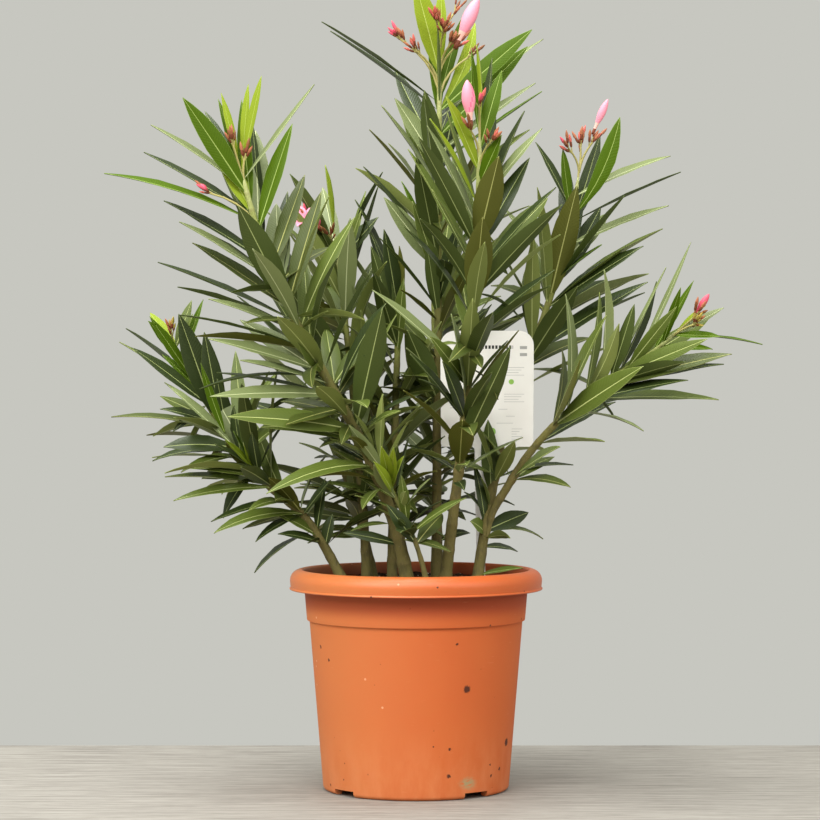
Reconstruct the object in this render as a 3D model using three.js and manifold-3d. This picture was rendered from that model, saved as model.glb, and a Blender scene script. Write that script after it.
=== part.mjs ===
// A young oleander in a round plastic nursery pot. Woody stems rise from the potting mix, fork low
// down and spread like a fan, and each shoot carries whorls of narrow leaves, held here as one
// uneven mass of foliage. A stick-in label stands among the stems.
// Millimetres, +Z up. The origin is the centre of the pot's flat underside, and -Y is the front.

import * as THREE from "three";
import { mergeVertices } from "three/addons/utils/BufferGeometryUtils.js";
import Module from "manifold-3d";

const wasm = await Module();
wasm.setup();

// ---- Driving dimensions ----

const GAP = 0.3; // clearance between pieces that touch in the real object

const POT = {
  height: 182,
  rimRadius: 105, // outside of the turned-down rim
  rimDepth: 16.5, // from the top of the rim to its lower edge
  rimRound: 9, // rounding of the rim's outer top edge
  mouthRadius: 93.5, // inside edge of the rim
  neckRadius: 92.6, // body just under the rim
  bandBottom: 140, // lower edge of the slightly wider band under the rim
  bandStep: 2.1, // how far the band stands out from the body below it
  footRadius: 76.9,
  footRound: 3.5, // rounding of the foot's outer edge
  wall: 2,
  floor: 2.5,
  recess: 5, // the underside inside the foot ring is raised by this much
  footRing: 7, // width of the foot ring
  gateRadius: 12, // flat moulding boss in the middle of the underside
  notches: 4, // drainage notches through the foot ring
  notchWidth: 24,
  notchTurn: -5.3, // degrees the notches are turned about the pot's axis from the diagonals
  drainRadius: 6,
  drainCircle: 56, // the drain holes stand on this radius, in line with the notches
  sides: 32,
};

const SOIL_LEVEL = 171; // the mix stops 11 mm below the top of the rim
const SOIL_TOP_RADIUS = 91.2;

const LABEL = {
  place: [55, 20], // stake's place in the pot
  shift: 4.5, // the card stands this far to the right of its stake
  topWidth: 78,
  bottomWidth: 77,
  bottom: 283, // height of the card's lower edge
  height: 97,
  corner: 12,
  thickness: 1,
  stakeWidth: 6,
  stakeDepth: 40, // pushed this far into the mix
};

const STEM = {
  sides: 7,
  boreSides: 6, // sides of the channel that a stem leaves in a mass of foliage
  rings: 10,
  flare: 0.14, // extra radius where a stem meets the mix, as a part of its own radius
  flareHeight: 10,
  crowding: 1.35, // rings stand closer together towards the foot
  step: 6, // step along a centre line while its lean and bearing change
};

const MASS = {
  sides: 9,
  rings: 8,
  opening: 0.2, // part of its length over which a mass opens out from its stem
  closing: 0.55, // where it starts to narrow towards its tip
  lobe: 0.16, // how far the leaves of a whorl stand out from the mean spread
  uneven: 0.07,
};

// One entry for each shoot. A shoot leaves the mix at `foot`, or its parent at the distance `from`
// along it. `lean` is its angle from the vertical at equal steps along its `length`, and `bearing`
// the compass of that lean, from +X towards +Y, one value or a list like the lean's. `girth` is its
// thickness at the foot and the tip. Its leaves start after the `bare` length, stand out by `spread`
// and reach past the tip by `reach`; `fuller` is how much further they stand out on the side away
// from the pot's axis.
const SHOOTS = [
  { name: "left", foot: [-7, -22], bearing: 200, lean: [8, 20, 27, 33, 26, 21, 14],
    length: 370, girth: [11.6, 4], bare: 112, spread: 78, fuller: 0.34, reach: 74 },
  { name: "centre", foot: [24, -12], bearing: 312, lean: [9, 11, 8, 6, 2, 1],
    length: 372, girth: [10.2, 4], bare: 100, spread: 76, fuller: 0.1, reach: 58 },
  { name: "right", foot: [51, 2], bearing: [40, 48, 80, 36, 30, 30, 30],
    lean: [9, 16, 36, 29, 22, 18, 6],
    length: 372, girth: [9.6, 4], bare: 96, spread: 82, fuller: 0.1, reach: 60 },
  { name: "far_right", parent: "right", from: 46, bearing: 345, lean: [28, 31, 44, 54, 60, 44],
    length: 240, girth: [8, 3.5], bare: 54, spread: 50, fuller: -0.4, reach: 84 },
  { name: "far_left", foot: [-60, -5], bearing: 166, lean: [28, 30, 57, 42, 31, 33, 29],
    length: 254, girth: [8.8, 3.5], bare: 124, spread: 62, fuller: 0.1, reach: 34 },
  { name: "low_left", parent: "far_left", from: 74, bearing: 204, lean: [50, 48, 40],
    length: 76, girth: [6, 3], bare: 4, spread: 74, fuller: 0.1, reach: 48 },
  { name: "top", foot: [17, 18], bearing: 85, lean: [4, 5, 5, 5, 4, 2],
    length: 430, girth: [9, 4], bare: 150, spread: 72, fuller: 0.05, reach: 84 },
  { name: "back_left", foot: [-41, 18], bearing: 118, lean: [5, 10, 12, 14, 16],
    length: 296, girth: [8.6, 4], bare: 92, spread: 70, fuller: 0.1, reach: 40 },
  { name: "middle", foot: [-20, 24], bearing: 78, lean: [2, 6, 10, 10],
    length: 272, girth: [9, 4], bare: 84, spread: 62, fuller: 0, reach: 36 },
  { name: "back", foot: [19, 52], bearing: 92, lean: [12, 22, 24, 16],
    length: 300, girth: [8.6, 4], bare: 104, spread: 80, fuller: 0.1, reach: 46 },
  { name: "rear_left", foot: [-36, 54], bearing: 128, lean: [18, 30, 26, 20],
    length: 232, girth: [8.2, 3.5], bare: 92, spread: 72, fuller: 0.1, reach: 42 },
  { name: "twig", foot: [9, -38], bearing: 186, lean: [10, 26, 22],
    length: 112, girth: [4.6, 2.4], bare: 56, spread: 34, fuller: 0, reach: 22 },
];

const COLOURS = {
  pot: "#d4703e",
  mix: "#33231a",
  stem: "#6b5f43",
  leaf: "#4c5a2f",
  label: "#efeae0",
};

// ---- Solids ----

const UP = new THREE.Vector3(0, 0, 1);

// A closed solid from a geometry. Triangles that shrank to a line on a lathe's axis are dropped.
function solidOf(geometry) {
  const surface = geometry.clone();
  surface.deleteAttribute("normal");
  surface.deleteAttribute("uv");
  const merged = mergeVertices(surface);
  const corners = [];
  for (let i = 0; i < merged.index.count; i += 3) {
    const [a, b, c] = merged.index.array.slice(i, i + 3);
    if (a !== b && b !== c && c !== a) corners.push(a, b, c);
  }
  return new wasm.Manifold(new wasm.Mesh({
    numProp: 3,
    vertProperties: new Float32Array(merged.attributes.position.array),
    triVerts: new Uint32Array(corners),
  }));
}

function geometryOf(solid) {
  const { vertProperties, triVerts } = solid.getMesh();
  const geometry = new THREE.BufferGeometry();
  geometry.setAttribute("position", new THREE.BufferAttribute(vertProperties, 3));
  geometry.setIndex(new THREE.BufferAttribute(triVerts, 1));
  geometry.computeVertexNormals();
  return geometry;
}

// The biggest of the bodies that a cut leaves.
function largestBody(solid) {
  return solid.decompose().sort((a, b) => b.volume() - a.volume())[0];
}

function meshOf(name, solid, colour, roughness) {
  const material = new THREE.MeshStandardMaterial({ color: colour, roughness, metalness: 0 });
  const mesh = new THREE.Mesh(geometryOf(solid), material);
  mesh.name = name;
  return mesh;
}

// A profile of radius and height, turned about Z.
function turned(profile, sides) {
  return new THREE.LatheGeometry(profile, sides).rotateX(Math.PI / 2);
}

// ---- Pot ----

// The body's outside radius at a height. The band under the rim stands out by one step.
function bodyRadius(z) {
  const belowBand = POT.neckRadius - POT.bandStep;
  const slope = (belowBand - POT.footRadius) / (POT.height - POT.rimDepth);
  return POT.footRadius + slope * z + (z > POT.bandBottom ? POT.bandStep : 0);
}

function potProfile() {
  const { height, rimRadius, rimDepth, rimRound, mouthRadius, wall, floor, recess } = POT;
  const rimBottom = height - rimDepth;
  const rimInside = rimRadius - wall;
  const underRim = height - wall;
  const floorTop = recess + floor;
  const profile = new THREE.Path();
  profile.moveTo(0, 0);
  profile.lineTo(POT.gateRadius, 0);
  profile.lineTo(POT.gateRadius + 1, recess);
  profile.lineTo(POT.footRadius - POT.footRing - 1, recess);
  profile.lineTo(POT.footRadius - POT.footRing, 0);
  profile.lineTo(POT.footRadius - POT.footRound, 0);
  profile.quadraticCurveTo(POT.footRadius, 0, bodyRadius(POT.footRound), POT.footRound);
  profile.lineTo(bodyRadius(POT.bandBottom), POT.bandBottom);
  profile.lineTo(bodyRadius(POT.bandBottom + 1), POT.bandBottom + 1);
  profile.lineTo(bodyRadius(rimBottom), rimBottom);
  profile.lineTo(mouthRadius + 1, underRim);
  profile.lineTo(rimInside - rimRound / 2, underRim);
  profile.lineTo(rimInside, underRim - rimRound / 2);
  profile.lineTo(rimInside, rimBottom);
  profile.lineTo(rimRadius, rimBottom);
  profile.lineTo(rimRadius, height - rimRound);
  profile.quadraticCurveTo(rimRadius, height, rimRadius - rimRound, height);
  profile.lineTo(mouthRadius + 2, height);
  profile.quadraticCurveTo(mouthRadius, height, mouthRadius, height - 2);
  profile.lineTo(bodyRadius(rimBottom) - wall, rimBottom);
  profile.lineTo(bodyRadius(POT.bandBottom + 2) - wall, POT.bandBottom + 2);
  profile.lineTo(bodyRadius(POT.bandBottom) - wall, POT.bandBottom - 1);
  profile.lineTo(bodyRadius(floorTop) - wall, floorTop);
  profile.lineTo(0, floorTop);
  return profile.getPoints(3);
}

function potSolid() {
  let solid = solidOf(turned(potProfile(), POT.sides));
  const across = new THREE.BoxGeometry(POT.footRing * 3, POT.notchWidth, POT.recess * 2);
  const drain = new THREE.CylinderGeometry(POT.drainRadius, POT.drainRadius, 4 * POT.recess, 12);
  drain.rotateX(Math.PI / 2);
  for (let i = 0; i < POT.notches; i++) {
    const angle = (i + 0.5) * (2 * Math.PI / POT.notches) + POT.notchTurn * Math.PI / 180;
    const notch = across.clone().translate(POT.footRadius, 0, 0).rotateZ(angle);
    const hole = drain.clone().translate(POT.drainCircle, 0, 0).rotateZ(angle);
    solid = solid.subtract(solidOf(notch)).subtract(solidOf(hole));
  }
  return solid;
}

// ---- Label ----

// A plastic card, a little narrower at the bottom, on a stake of the same sheet. `grow` widens it
// on every side, for the hole it makes in what it stands in.
function labelSolid(grow = 0) {
  const { topWidth, bottomWidth, bottom, height, corner, thickness, stakeWidth } = LABEL;
  const half = topWidth / 2 + grow;
  const low = bottomWidth / 2 + grow;
  const middle = LABEL.shift;
  const stake = stakeWidth / 2 + grow;
  const top = bottom + height + grow;
  const foot = SOIL_LEVEL - LABEL.stakeDepth - grow;
  const shape = new THREE.Shape();
  shape.moveTo(-1 - grow, foot);
  shape.lineTo(1 + grow, foot);
  shape.lineTo(stake, foot + 3 * stakeWidth);
  shape.lineTo(stake, bottom - grow);
  shape.lineTo(middle + low, bottom - grow);
  shape.lineTo(middle + half, top - corner * 4);
  shape.lineTo(middle + half, top - corner);
  shape.quadraticCurveTo(middle + half, top, middle + half - corner, top);
  shape.lineTo(middle + corner - half, top);
  shape.quadraticCurveTo(middle - half, top, middle - half, top - corner);
  shape.lineTo(middle - half, top - corner * 4);
  shape.lineTo(middle - low, bottom - grow);
  shape.lineTo(-stake, bottom - grow);
  shape.lineTo(-stake, foot + 3 * stakeWidth);
  const depth = thickness + 2 * grow;
  const sheet = new THREE.ExtrudeGeometry(shape, { depth, bevelEnabled: false, curveSegments: 4 });
  sheet.translate(0, 0, -depth / 2).rotateX(Math.PI / 2).translate(...LABEL.place, 0);
  return solidOf(sheet);
}

// ---- Potting mix ----

// It fills the pot to just below the rim, and the stake stands in it.
function mixSolid() {
  const bottom = POT.recess + POT.floor + GAP;
  const rimBottom = POT.height - POT.rimDepth;
  const inside = (z) => bodyRadius(z) - POT.wall - POT.bandStep - GAP;
  const profile = [
    new THREE.Vector2(0, bottom),
    new THREE.Vector2(bodyRadius(bottom) - POT.wall - 2 * GAP, bottom),
    new THREE.Vector2(inside(rimBottom), rimBottom - 1),
    new THREE.Vector2(SOIL_TOP_RADIUS - 1, SOIL_LEVEL),
    new THREE.Vector2(0, SOIL_LEVEL),
  ];
  return solidOf(turned(profile, POT.sides)).subtract(labelSolid(GAP));
}

// ---- Stems ----

// The value of a list at the part t of its length.
function along(values, t) {
  if (values.length === 1) return values[0];
  const place = THREE.MathUtils.clamp(t, 0, 1) * (values.length - 1);
  const before = Math.min(Math.floor(place), values.length - 2);
  return THREE.MathUtils.lerp(values[before], values[before + 1], place - before);
}

// A shoot's centre line from its foot to `past` beyond its growing point.
function centreLine(shoot, past) {
  const start = shoot.parent
    ? lines[shoot.parent].getPointAt(shoot.from / lines[shoot.parent].getLength())
    : new THREE.Vector3(...shoot.foot, SOIL_LEVEL + GAP);
  const points = [start.clone()];
  const bearings = [shoot.bearing].flat();
  const steps = Math.round((shoot.length + past) / STEM.step);
  const step = (shoot.length + past) / steps;
  for (let i = 0; i < steps; i++) {
    const t = ((i + 0.5) * step) / shoot.length;
    const lean = THREE.MathUtils.degToRad(along(shoot.lean, t));
    const bearing = THREE.MathUtils.degToRad(along(bearings, t));
    const side = Math.sin(lean) * step;
    start.add(new THREE.Vector3(side * Math.cos(bearing), side * Math.sin(bearing),
      Math.cos(lean) * step));
    points.push(start.clone());
  }
  return new THREE.CatmullRomCurve3(points);
}

// A tapering stem that flares at its foot, with a flat cut where it meets the mix. `grow` widens it.
function stemSolid(shoot, grow = 0, sides = STEM.sides) {
  const line = lines[shoot.name];
  const stem = new THREE.CylinderGeometry(1, 1, 1, sides, STEM.rings);
  const corner = new THREE.Vector3();
  const position = stem.attributes.position;
  for (let i = 0; i < position.count; i++) {
    const t = Math.pow(position.getY(i) + 0.5, STEM.crowding);
    const tangent = line.getTangentAt(t);
    const flare = shoot.parent ? 0 : STEM.flare * Math.exp((-t * shoot.length) / STEM.flareHeight);
    const round = sides < STEM.sides ? 1 / Math.cos(Math.PI / sides) : 1;
    const radius = ((along(shoot.girth, t) / 2) * (1 + flare) + grow) * round;
    corner.set(position.getX(i), -position.getZ(i), 0).multiplyScalar(radius);
    corner.applyQuaternion(new THREE.Quaternion().setFromUnitVectors(UP, tangent));
    if (t === 0) corner.addScaledVector(tangent, -corner.z / tangent.z - grow);
    if (t === 1) corner.addScaledVector(tangent, grow);
    corner.add(line.getPointAt(t));
    position.setXYZ(i, corner.x, corner.y, corner.z);
  }
  return solidOf(stem);
}

// ---- Foliage ----

// A repeatable value from -1 to 1 for each pair of numbers.
function scatter(a, b) {
  return Math.sin(a * 12.9898 + b * 78.233) * Math.cos(a * 4.141 - b * 9.17);
}

// How far a mass stands out from its shoot at the part t of its length, as a part of its spread.
function outline(t) {
  const open = Math.min(1, t / MASS.opening) ** 0.75;
  const close = Math.max(0, t - MASS.closing) / (1 - MASS.closing);
  return open * Math.sqrt(1 - close ** 2);
}

// An uneven spindle round the leafy part of a shoot. Its rings lie across the chord from the first
// leaves to the tip, and each is a whorl of three lobes, turned half a leaf from the ring below.
function massSolid(shoot, index, grow = 0) {
  const line = centreLine(shoot, shoot.reach);
  const whole = shoot.length + shoot.reach;
  const base = line.getPointAt(shoot.bare / whole);
  const chord = line.getPointAt(1).sub(base).normalize();
  const turn = new THREE.Quaternion().setFromUnitVectors(UP, chord);
  const outward = Math.atan2(chord.y, chord.x);
  const mass = new THREE.SphereGeometry(1, MASS.sides, MASS.rings);
  const corner = new THREE.Vector3();
  const position = mass.attributes.position;
  for (let i = 0; i < position.count; i++) {
    const polar = Math.acos(THREE.MathUtils.clamp(position.getY(i), -1, 1));
    const ring = Math.round((1 - polar / Math.PI) * MASS.rings);
    const t = ring / MASS.rings;
    const side = Math.round((Math.atan2(-position.getZ(i), position.getX(i)) / Math.PI + 1)
      * (MASS.sides / 2)) % MASS.sides;
    const azimuth = (side / MASS.sides) * 2 * Math.PI;
    const lobe = MASS.lobe * Math.cos(3 * azimuth + ring * Math.PI + index)
      + MASS.uneven * scatter(ring + 10 * index, side)
      + shoot.fuller * Math.cos(azimuth - outward);
    const isPole = ring === 0 || ring === MASS.rings;
    const radius = isPole ? 0 : shoot.spread * outline(t) * (1 + lobe) + grow;
    corner.set(Math.cos(azimuth), Math.sin(azimuth), 0).multiplyScalar(radius);
    corner.applyQuaternion(turn);
    corner.add(line.getPointAt((shoot.bare + t * (whole - shoot.bare)) / whole));
    if (isPole) corner.addScaledVector(chord, ring === 0 ? -grow : grow);
    position.setXYZ(i, corner.x, corner.y, corner.z);
  }
  return solidOf(mass);
}

// ---- Assembly ----

const lines = {};
for (const shoot of SHOOTS) lines[shoot.name] = centreLine(shoot, 0);

const group = new THREE.Group();
group.name = "potted_oleander";
group.add(meshOf("pot", potSolid(), COLOURS.pot, 0.45));
group.add(meshOf("potting_mix", mixSolid(), COLOURS.mix, 0.95));
group.add(meshOf("plant_label", labelSolid(), COLOURS.label, 0.5));

// A side bough is cut clear of the stem that it springs from.
for (const shoot of SHOOTS) {
  let stem = stemSolid(shoot);
  const parent = SHOOTS.find((other) => other.name === shoot.parent);
  if (parent) stem = largestBody(stem.subtract(stemSolid(parent, GAP)));
  const name = shoot.parent ? `bough_${shoot.name}` : `stem_${shoot.name}`;
  group.add(meshOf(name, stem, COLOURS.stem, 0.85));
}

// A mass is cut round every stem, the label and the masses before it.
let taken = labelSolid(GAP);
for (const shoot of SHOOTS) taken = taken.add(stemSolid(shoot, GAP, STEM.boreSides));
SHOOTS.forEach((shoot, index) => {
  const mass = largestBody(massSolid(shoot, index).subtract(taken));
  group.add(meshOf(`foliage_${shoot.name}`, mass, COLOURS.leaf, 0.7));
  taken = taken.add(massSolid(shoot, index, 2 * GAP));
});

export default group;
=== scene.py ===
# A young oleander in a round plastic nursery pot, with its flowers still in bud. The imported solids
# give every place and size; this script makes the surfaces, bark, leaves and buds that show.
# Metres, +Z up. The origin is the centre of the pot's underside, and -Y is the front.

import math
import random

import bmesh
import bpy
import numpy as np
from mathutils import Matrix, Vector, noise


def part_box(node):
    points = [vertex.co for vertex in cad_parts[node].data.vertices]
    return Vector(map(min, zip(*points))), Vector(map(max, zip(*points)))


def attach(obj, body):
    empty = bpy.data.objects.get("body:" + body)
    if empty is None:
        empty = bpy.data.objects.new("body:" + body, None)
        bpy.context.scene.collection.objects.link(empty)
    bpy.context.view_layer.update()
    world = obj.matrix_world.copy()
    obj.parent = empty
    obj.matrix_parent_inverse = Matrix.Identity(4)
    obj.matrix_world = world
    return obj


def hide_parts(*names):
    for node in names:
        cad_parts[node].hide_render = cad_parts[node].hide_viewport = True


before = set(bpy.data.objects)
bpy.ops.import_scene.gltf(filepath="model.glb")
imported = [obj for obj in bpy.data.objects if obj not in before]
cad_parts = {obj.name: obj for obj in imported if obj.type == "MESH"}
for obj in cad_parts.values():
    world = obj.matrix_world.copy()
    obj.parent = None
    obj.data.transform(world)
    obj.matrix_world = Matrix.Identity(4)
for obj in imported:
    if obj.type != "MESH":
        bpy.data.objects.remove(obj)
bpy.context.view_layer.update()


# ---- Studio ----
# A pale table in a plain grey room. Soft light comes from a big window of diffusers up on the left,
# with one overhead and weaker ones in front and on the right, as for a catalogue picture.

def worked(operation, swapped=False):
    """The method behind an operator: it adds the node that works out a sum."""
    def method(wire, other):
        first, second = (other, wire) if swapped else (wire, other)
        return wire.maker.sum_of(operation, first, second)
    return method


class Wire:
    """One output of a node. Sums and products of wires add the nodes that work them out."""

    __add__, __radd__ = worked("ADD"), worked("ADD", swapped=True)
    __sub__, __rsub__ = worked("SUBTRACT"), worked("SUBTRACT", swapped=True)
    __mul__, __rmul__ = worked("MULTIPLY"), worked("MULTIPLY", swapped=True)
    __truediv__, __rtruediv__ = worked("DIVIDE"), worked("DIVIDE", swapped=True)

    def __init__(self, maker, socket):
        self.maker = maker
        self.socket = socket


def is_vector(value):
    """Whether a wire or a plain value has three parts."""
    if isinstance(value, Wire):
        return value.socket.type == "VECTOR"
    return not isinstance(value, (int, float))


class Maker:
    """Adds nodes to one tree."""

    def __init__(self, tree):
        self.tree = tree

    def add(self, kind, settings, sockets, out=0):
        """A node of this kind, its settings made first, then its sockets' values or links."""
        node = self.tree.nodes.new(kind)
        for name, value in settings.items():
            if name == "stops":
                self.ramp(node.color_ramp, value)
            else:
                setattr(node, name, value)
        for name, value in sockets.items():
            if isinstance(name, int):
                socket = node.inputs[name]
            else:
                socket = next(s for s in node.inputs if s.name == name and s.enabled)
            if isinstance(value, Wire):
                self.tree.links.new(value.socket, socket)
            elif socket.type == "RGBA" and len(value) == 3:
                socket.default_value = (*value, 1)
            else:
                socket.default_value = value
        outputs = [s for s in node.outputs if s.enabled]
        found = outputs[out] if isinstance(out, int) else next(s for s in outputs if s.name == out)
        return Wire(self, found)

    def ramp(self, ramp, stops):
        while len(ramp.elements) < len(stops):
            ramp.elements.new(0.5)
        for element, (place, colour) in zip(ramp.elements, stops):
            element.position = place
            element.color = (*colour, 1)

    def sum_of(self, operation, first, second):
        if not (is_vector(first) or is_vector(second)):
            return self.add("ShaderNodeMath", {"operation": operation}, {0: first, 1: second})
        if operation == "MULTIPLY" and not (is_vector(first) and is_vector(second)):
            vector, number = (first, second) if is_vector(first) else (second, first)
            return self.add("ShaderNodeVectorMath", {"operation": "SCALE"},
                            {0: vector, "Scale": number})
        return self.add("ShaderNodeVectorMath", {"operation": operation}, {0: first, 1: second})

    def place(self):
        """Where a point of the surface is, on its object's own axes."""
        return self.add("ShaderNodeTexCoord", {}, {}, "Object")

    def of(self, operation, value):
        """A Math node with one input, such as SINE or ABSOLUTE."""
        return self.add("ShaderNodeMath", {"operation": operation}, {0: value})

    def size_of(self, vector):
        return self.add("ShaderNodeVectorMath", {"operation": "LENGTH"}, {0: vector}, "Value")

    def step(self, value, low, high):
        """Rises softly from 0 at low to 1 at high, or falls where low is the greater."""
        return self.add("ShaderNodeMapRange", {"interpolation_type": "SMOOTHSTEP"},
                        {"Value": value, "From Min": low, "From Max": high})

    def blend(self, share, first, second):
        """A colour that goes from the first to the second."""
        return self.add("ShaderNodeMix", {"data_type": "RGBA"},
                        {"Factor": share, "A": first, "B": second})

    def noise(self, place, scale, detail=2.0, rough=0.5):
        return self.add("ShaderNodeTexNoise", {},
                        {"Vector": place, "Scale": scale, "Detail": detail, "Roughness": rough})

    def cells(self, place, scale, out="Distance"):
        return self.add("ShaderNodeTexVoronoi", {}, {"Vector": place, "Scale": scale}, out)

    def parts_of(self, vector):
        split = self.add("ShaderNodeSeparateXYZ", {}, {0: vector})
        return [Wire(self, s) for s in split.socket.node.outputs]

    def bump(self, height, depth, strength=1.0):
        return self.add("ShaderNodeBump", {},
                        {"Height": height, "Distance": depth, "Strength": strength})


def finish_of(name, paint, **fixed):
    """A material. `paint` gets its Maker and returns the sockets that change over the surface, and
    `fixed` are the same all over; a socket's name has _ for a space."""
    material = bpy.data.materials.new(name)
    material.use_nodes = True
    make = Maker(material.node_tree)
    shader = material.node_tree.nodes["Principled BSDF"]
    for socket, value in fixed.items():
        value = (*value, 1) if isinstance(value, tuple) else value
        shader.inputs[socket.replace("_", " ")].default_value = value
    for socket, wire in paint(make).items():
        material.node_tree.links.new(wire.socket, shader.inputs[socket])
    return material


def srgb(red, green, blue):
    """A colour given in parts of 255, as a screen shows it, in linear light."""
    def linear(part):
        part /= 255
        return part / 12.92 if part <= 0.04045 else ((part + 0.055) / 1.055) ** 2.4
    return linear(red), linear(green), linear(blue)


def object_of(name, mesh):
    """A mesh, as an object at the origin."""
    made = bpy.data.objects.new(name, mesh)
    bpy.context.scene.collection.objects.link(made)
    return made


def object_from(form, name):
    """A finished bmesh form, as an object at the origin."""
    mesh = bpy.data.meshes.new(name)
    form.to_mesh(mesh)
    form.free()
    return object_of(name, mesh)


def whitewashed(make):
    """The table's worn, whitewashed top: long faint streaks."""
    place = make.place()
    streaks = make.noise(place * (3.0, 60.0, 1.0), 4.0, 6.0, 0.6)
    fine = make.noise(place * (20.0, 300.0, 1.0), 4.0, 3.0)
    tone = make.step(streaks * 0.7 + fine * 0.3, 0.35, 0.62)
    return {"Base Color": make.blend(tone, srgb(118, 113, 105), srgb(154, 150, 141))}


MM = 0.001
TABLE_BACK = 275 * MM
TABLE_HALF = 2.4
TABLE_FRONT = -3.2
TABLE_THICK = 40 * MM
TABLE_GAP = 0.2 * MM

table_form = bmesh.new()
bmesh.ops.create_cube(table_form, size=1)
bmesh.ops.scale(table_form, verts=table_form.verts,
                vec=(2 * TABLE_HALF, TABLE_BACK - TABLE_FRONT, TABLE_THICK))
bmesh.ops.translate(table_form, verts=table_form.verts,
                    vec=(0, (TABLE_BACK + TABLE_FRONT) / 2, -TABLE_THICK / 2 - TABLE_GAP))
table_top = object_from(table_form, "table_top")
table_top.data.materials.append(finish_of("table_paint", whitewashed, Roughness=0.7))

ROOM = srgb(199, 199, 192)
room = bpy.data.worlds.new("room")
room.use_nodes = True
backdrop = room.node_tree.nodes["Background"].inputs
backdrop["Color"].default_value = (*ROOM, 1)
backdrop["Strength"].default_value = 1.0
bpy.context.scene.world = room

CROWN_MIDDLE = Vector((0, 0, 0.34))


def soft_light(name, place, size, power):
    """A square of diffused light that faces the middle of the plant."""
    light = bpy.data.lights.new(name, "AREA")
    light.shape = "SQUARE"
    light.size = size
    light.energy = power
    lamp = bpy.data.objects.new(name, light)
    lamp.location = place
    lamp.rotation_euler = (CROWN_MIDDLE - Vector(place)).to_track_quat("-Z", "Y").to_euler()
    bpy.context.scene.collection.objects.link(lamp)


soft_light("window_left", (-1.4, -1.9, 1.9), 1.7, 73)
soft_light("window_front", (0.3, -2.0, 2.2), 1.2, 40)
soft_light("window_right", (2.0, -1.6, 1.4), 1.5, 22)
soft_light("overhead", (-0.4, 0.0, 2.2), 1.1, 50)

CAMERA_PLACE = Vector((-5 * MM, -2400 * MM, 345 * MM))
CAMERA_AIM = Vector((-5 * MM, 0, 314 * MM))

camera_data = bpy.data.cameras.new("camera")
camera_data.sensor_width = 36
camera_data.lens = 127
camera_data.clip_end = 20
camera = bpy.data.objects.new("camera", camera_data)
camera.location = CAMERA_PLACE
camera.rotation_euler = (CAMERA_AIM - CAMERA_PLACE).to_track_quat("-Z", "Y").to_euler()
bpy.context.scene.collection.objects.link(camera)
bpy.context.scene.camera = camera
bpy.context.scene.view_settings.view_transform = "Standard"


# ---- Pot ----
# A 21 cm nursery pot, injection moulded in terracotta-coloured polypropylene: one thin wall with a
# turned-down rim, a slightly wider band under it, and a foot ring that is notched for drainage.

_, pot_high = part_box("pot")
POT_TOP = pot_high.z / MM
RIM_RADIUS = pot_high.x / MM
RIM_DEPTH = 16.5
RIM_ROUND = 9
MOUTH_RADIUS = 93.5
BAND_BOTTOM = 140
BAND_STEP = 2.1
NECK_RADIUS = 92.6
FOOT_RADIUS = 76.9
FOOT_ROUND = 3.5
FOOT_RING = 7
RECESS = 5
POT_WALL = 2
POT_FLOOR = 2.5
POT_EDGE = 0.8
RIM_FILLET = 1.2
SKIRT_SLOPE = 0.4
MOUTH_ROUND = 2
FLOOR_ROUND = 2
FLOOR_MIDDLE = 40
GATE_RADIUS = 12
GATE_EDGE = 0.5
NOTCHES = 4
NOTCH_WIDTH = 24
NOTCH_TURN = math.radians(-5.3)
DRAIN_RADIUS = 6
DRAIN_CIRCLE = 56
DRAIN_SIDES = 24
POT_SIDES = 192
POT_CREASE = math.radians(32)


def body_radius(z):
    """The body's outside radius at a height, without the step of the band."""
    below_band = NECK_RADIUS - BAND_STEP
    return FOOT_RADIUS + (below_band - FOOT_RADIUS) * z / (POT_TOP - RIM_DEPTH)


def corner(centre, radius, start, end, steps=5):
    """Points along a rounded corner, between two angles in degrees."""
    angles = [math.radians(start + (end - start) * i / steps) for i in range(steps + 1)]
    return [(centre[0] + radius * math.cos(a), centre[1] + radius * math.sin(a)) for a in angles]


def straight(start, end, steps):
    """Points strictly between two others."""
    return [(start[0] + (end[0] - start[0]) * i / steps, start[1] + (end[1] - start[1]) * i / steps)
            for i in range(1, steps)]


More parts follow.
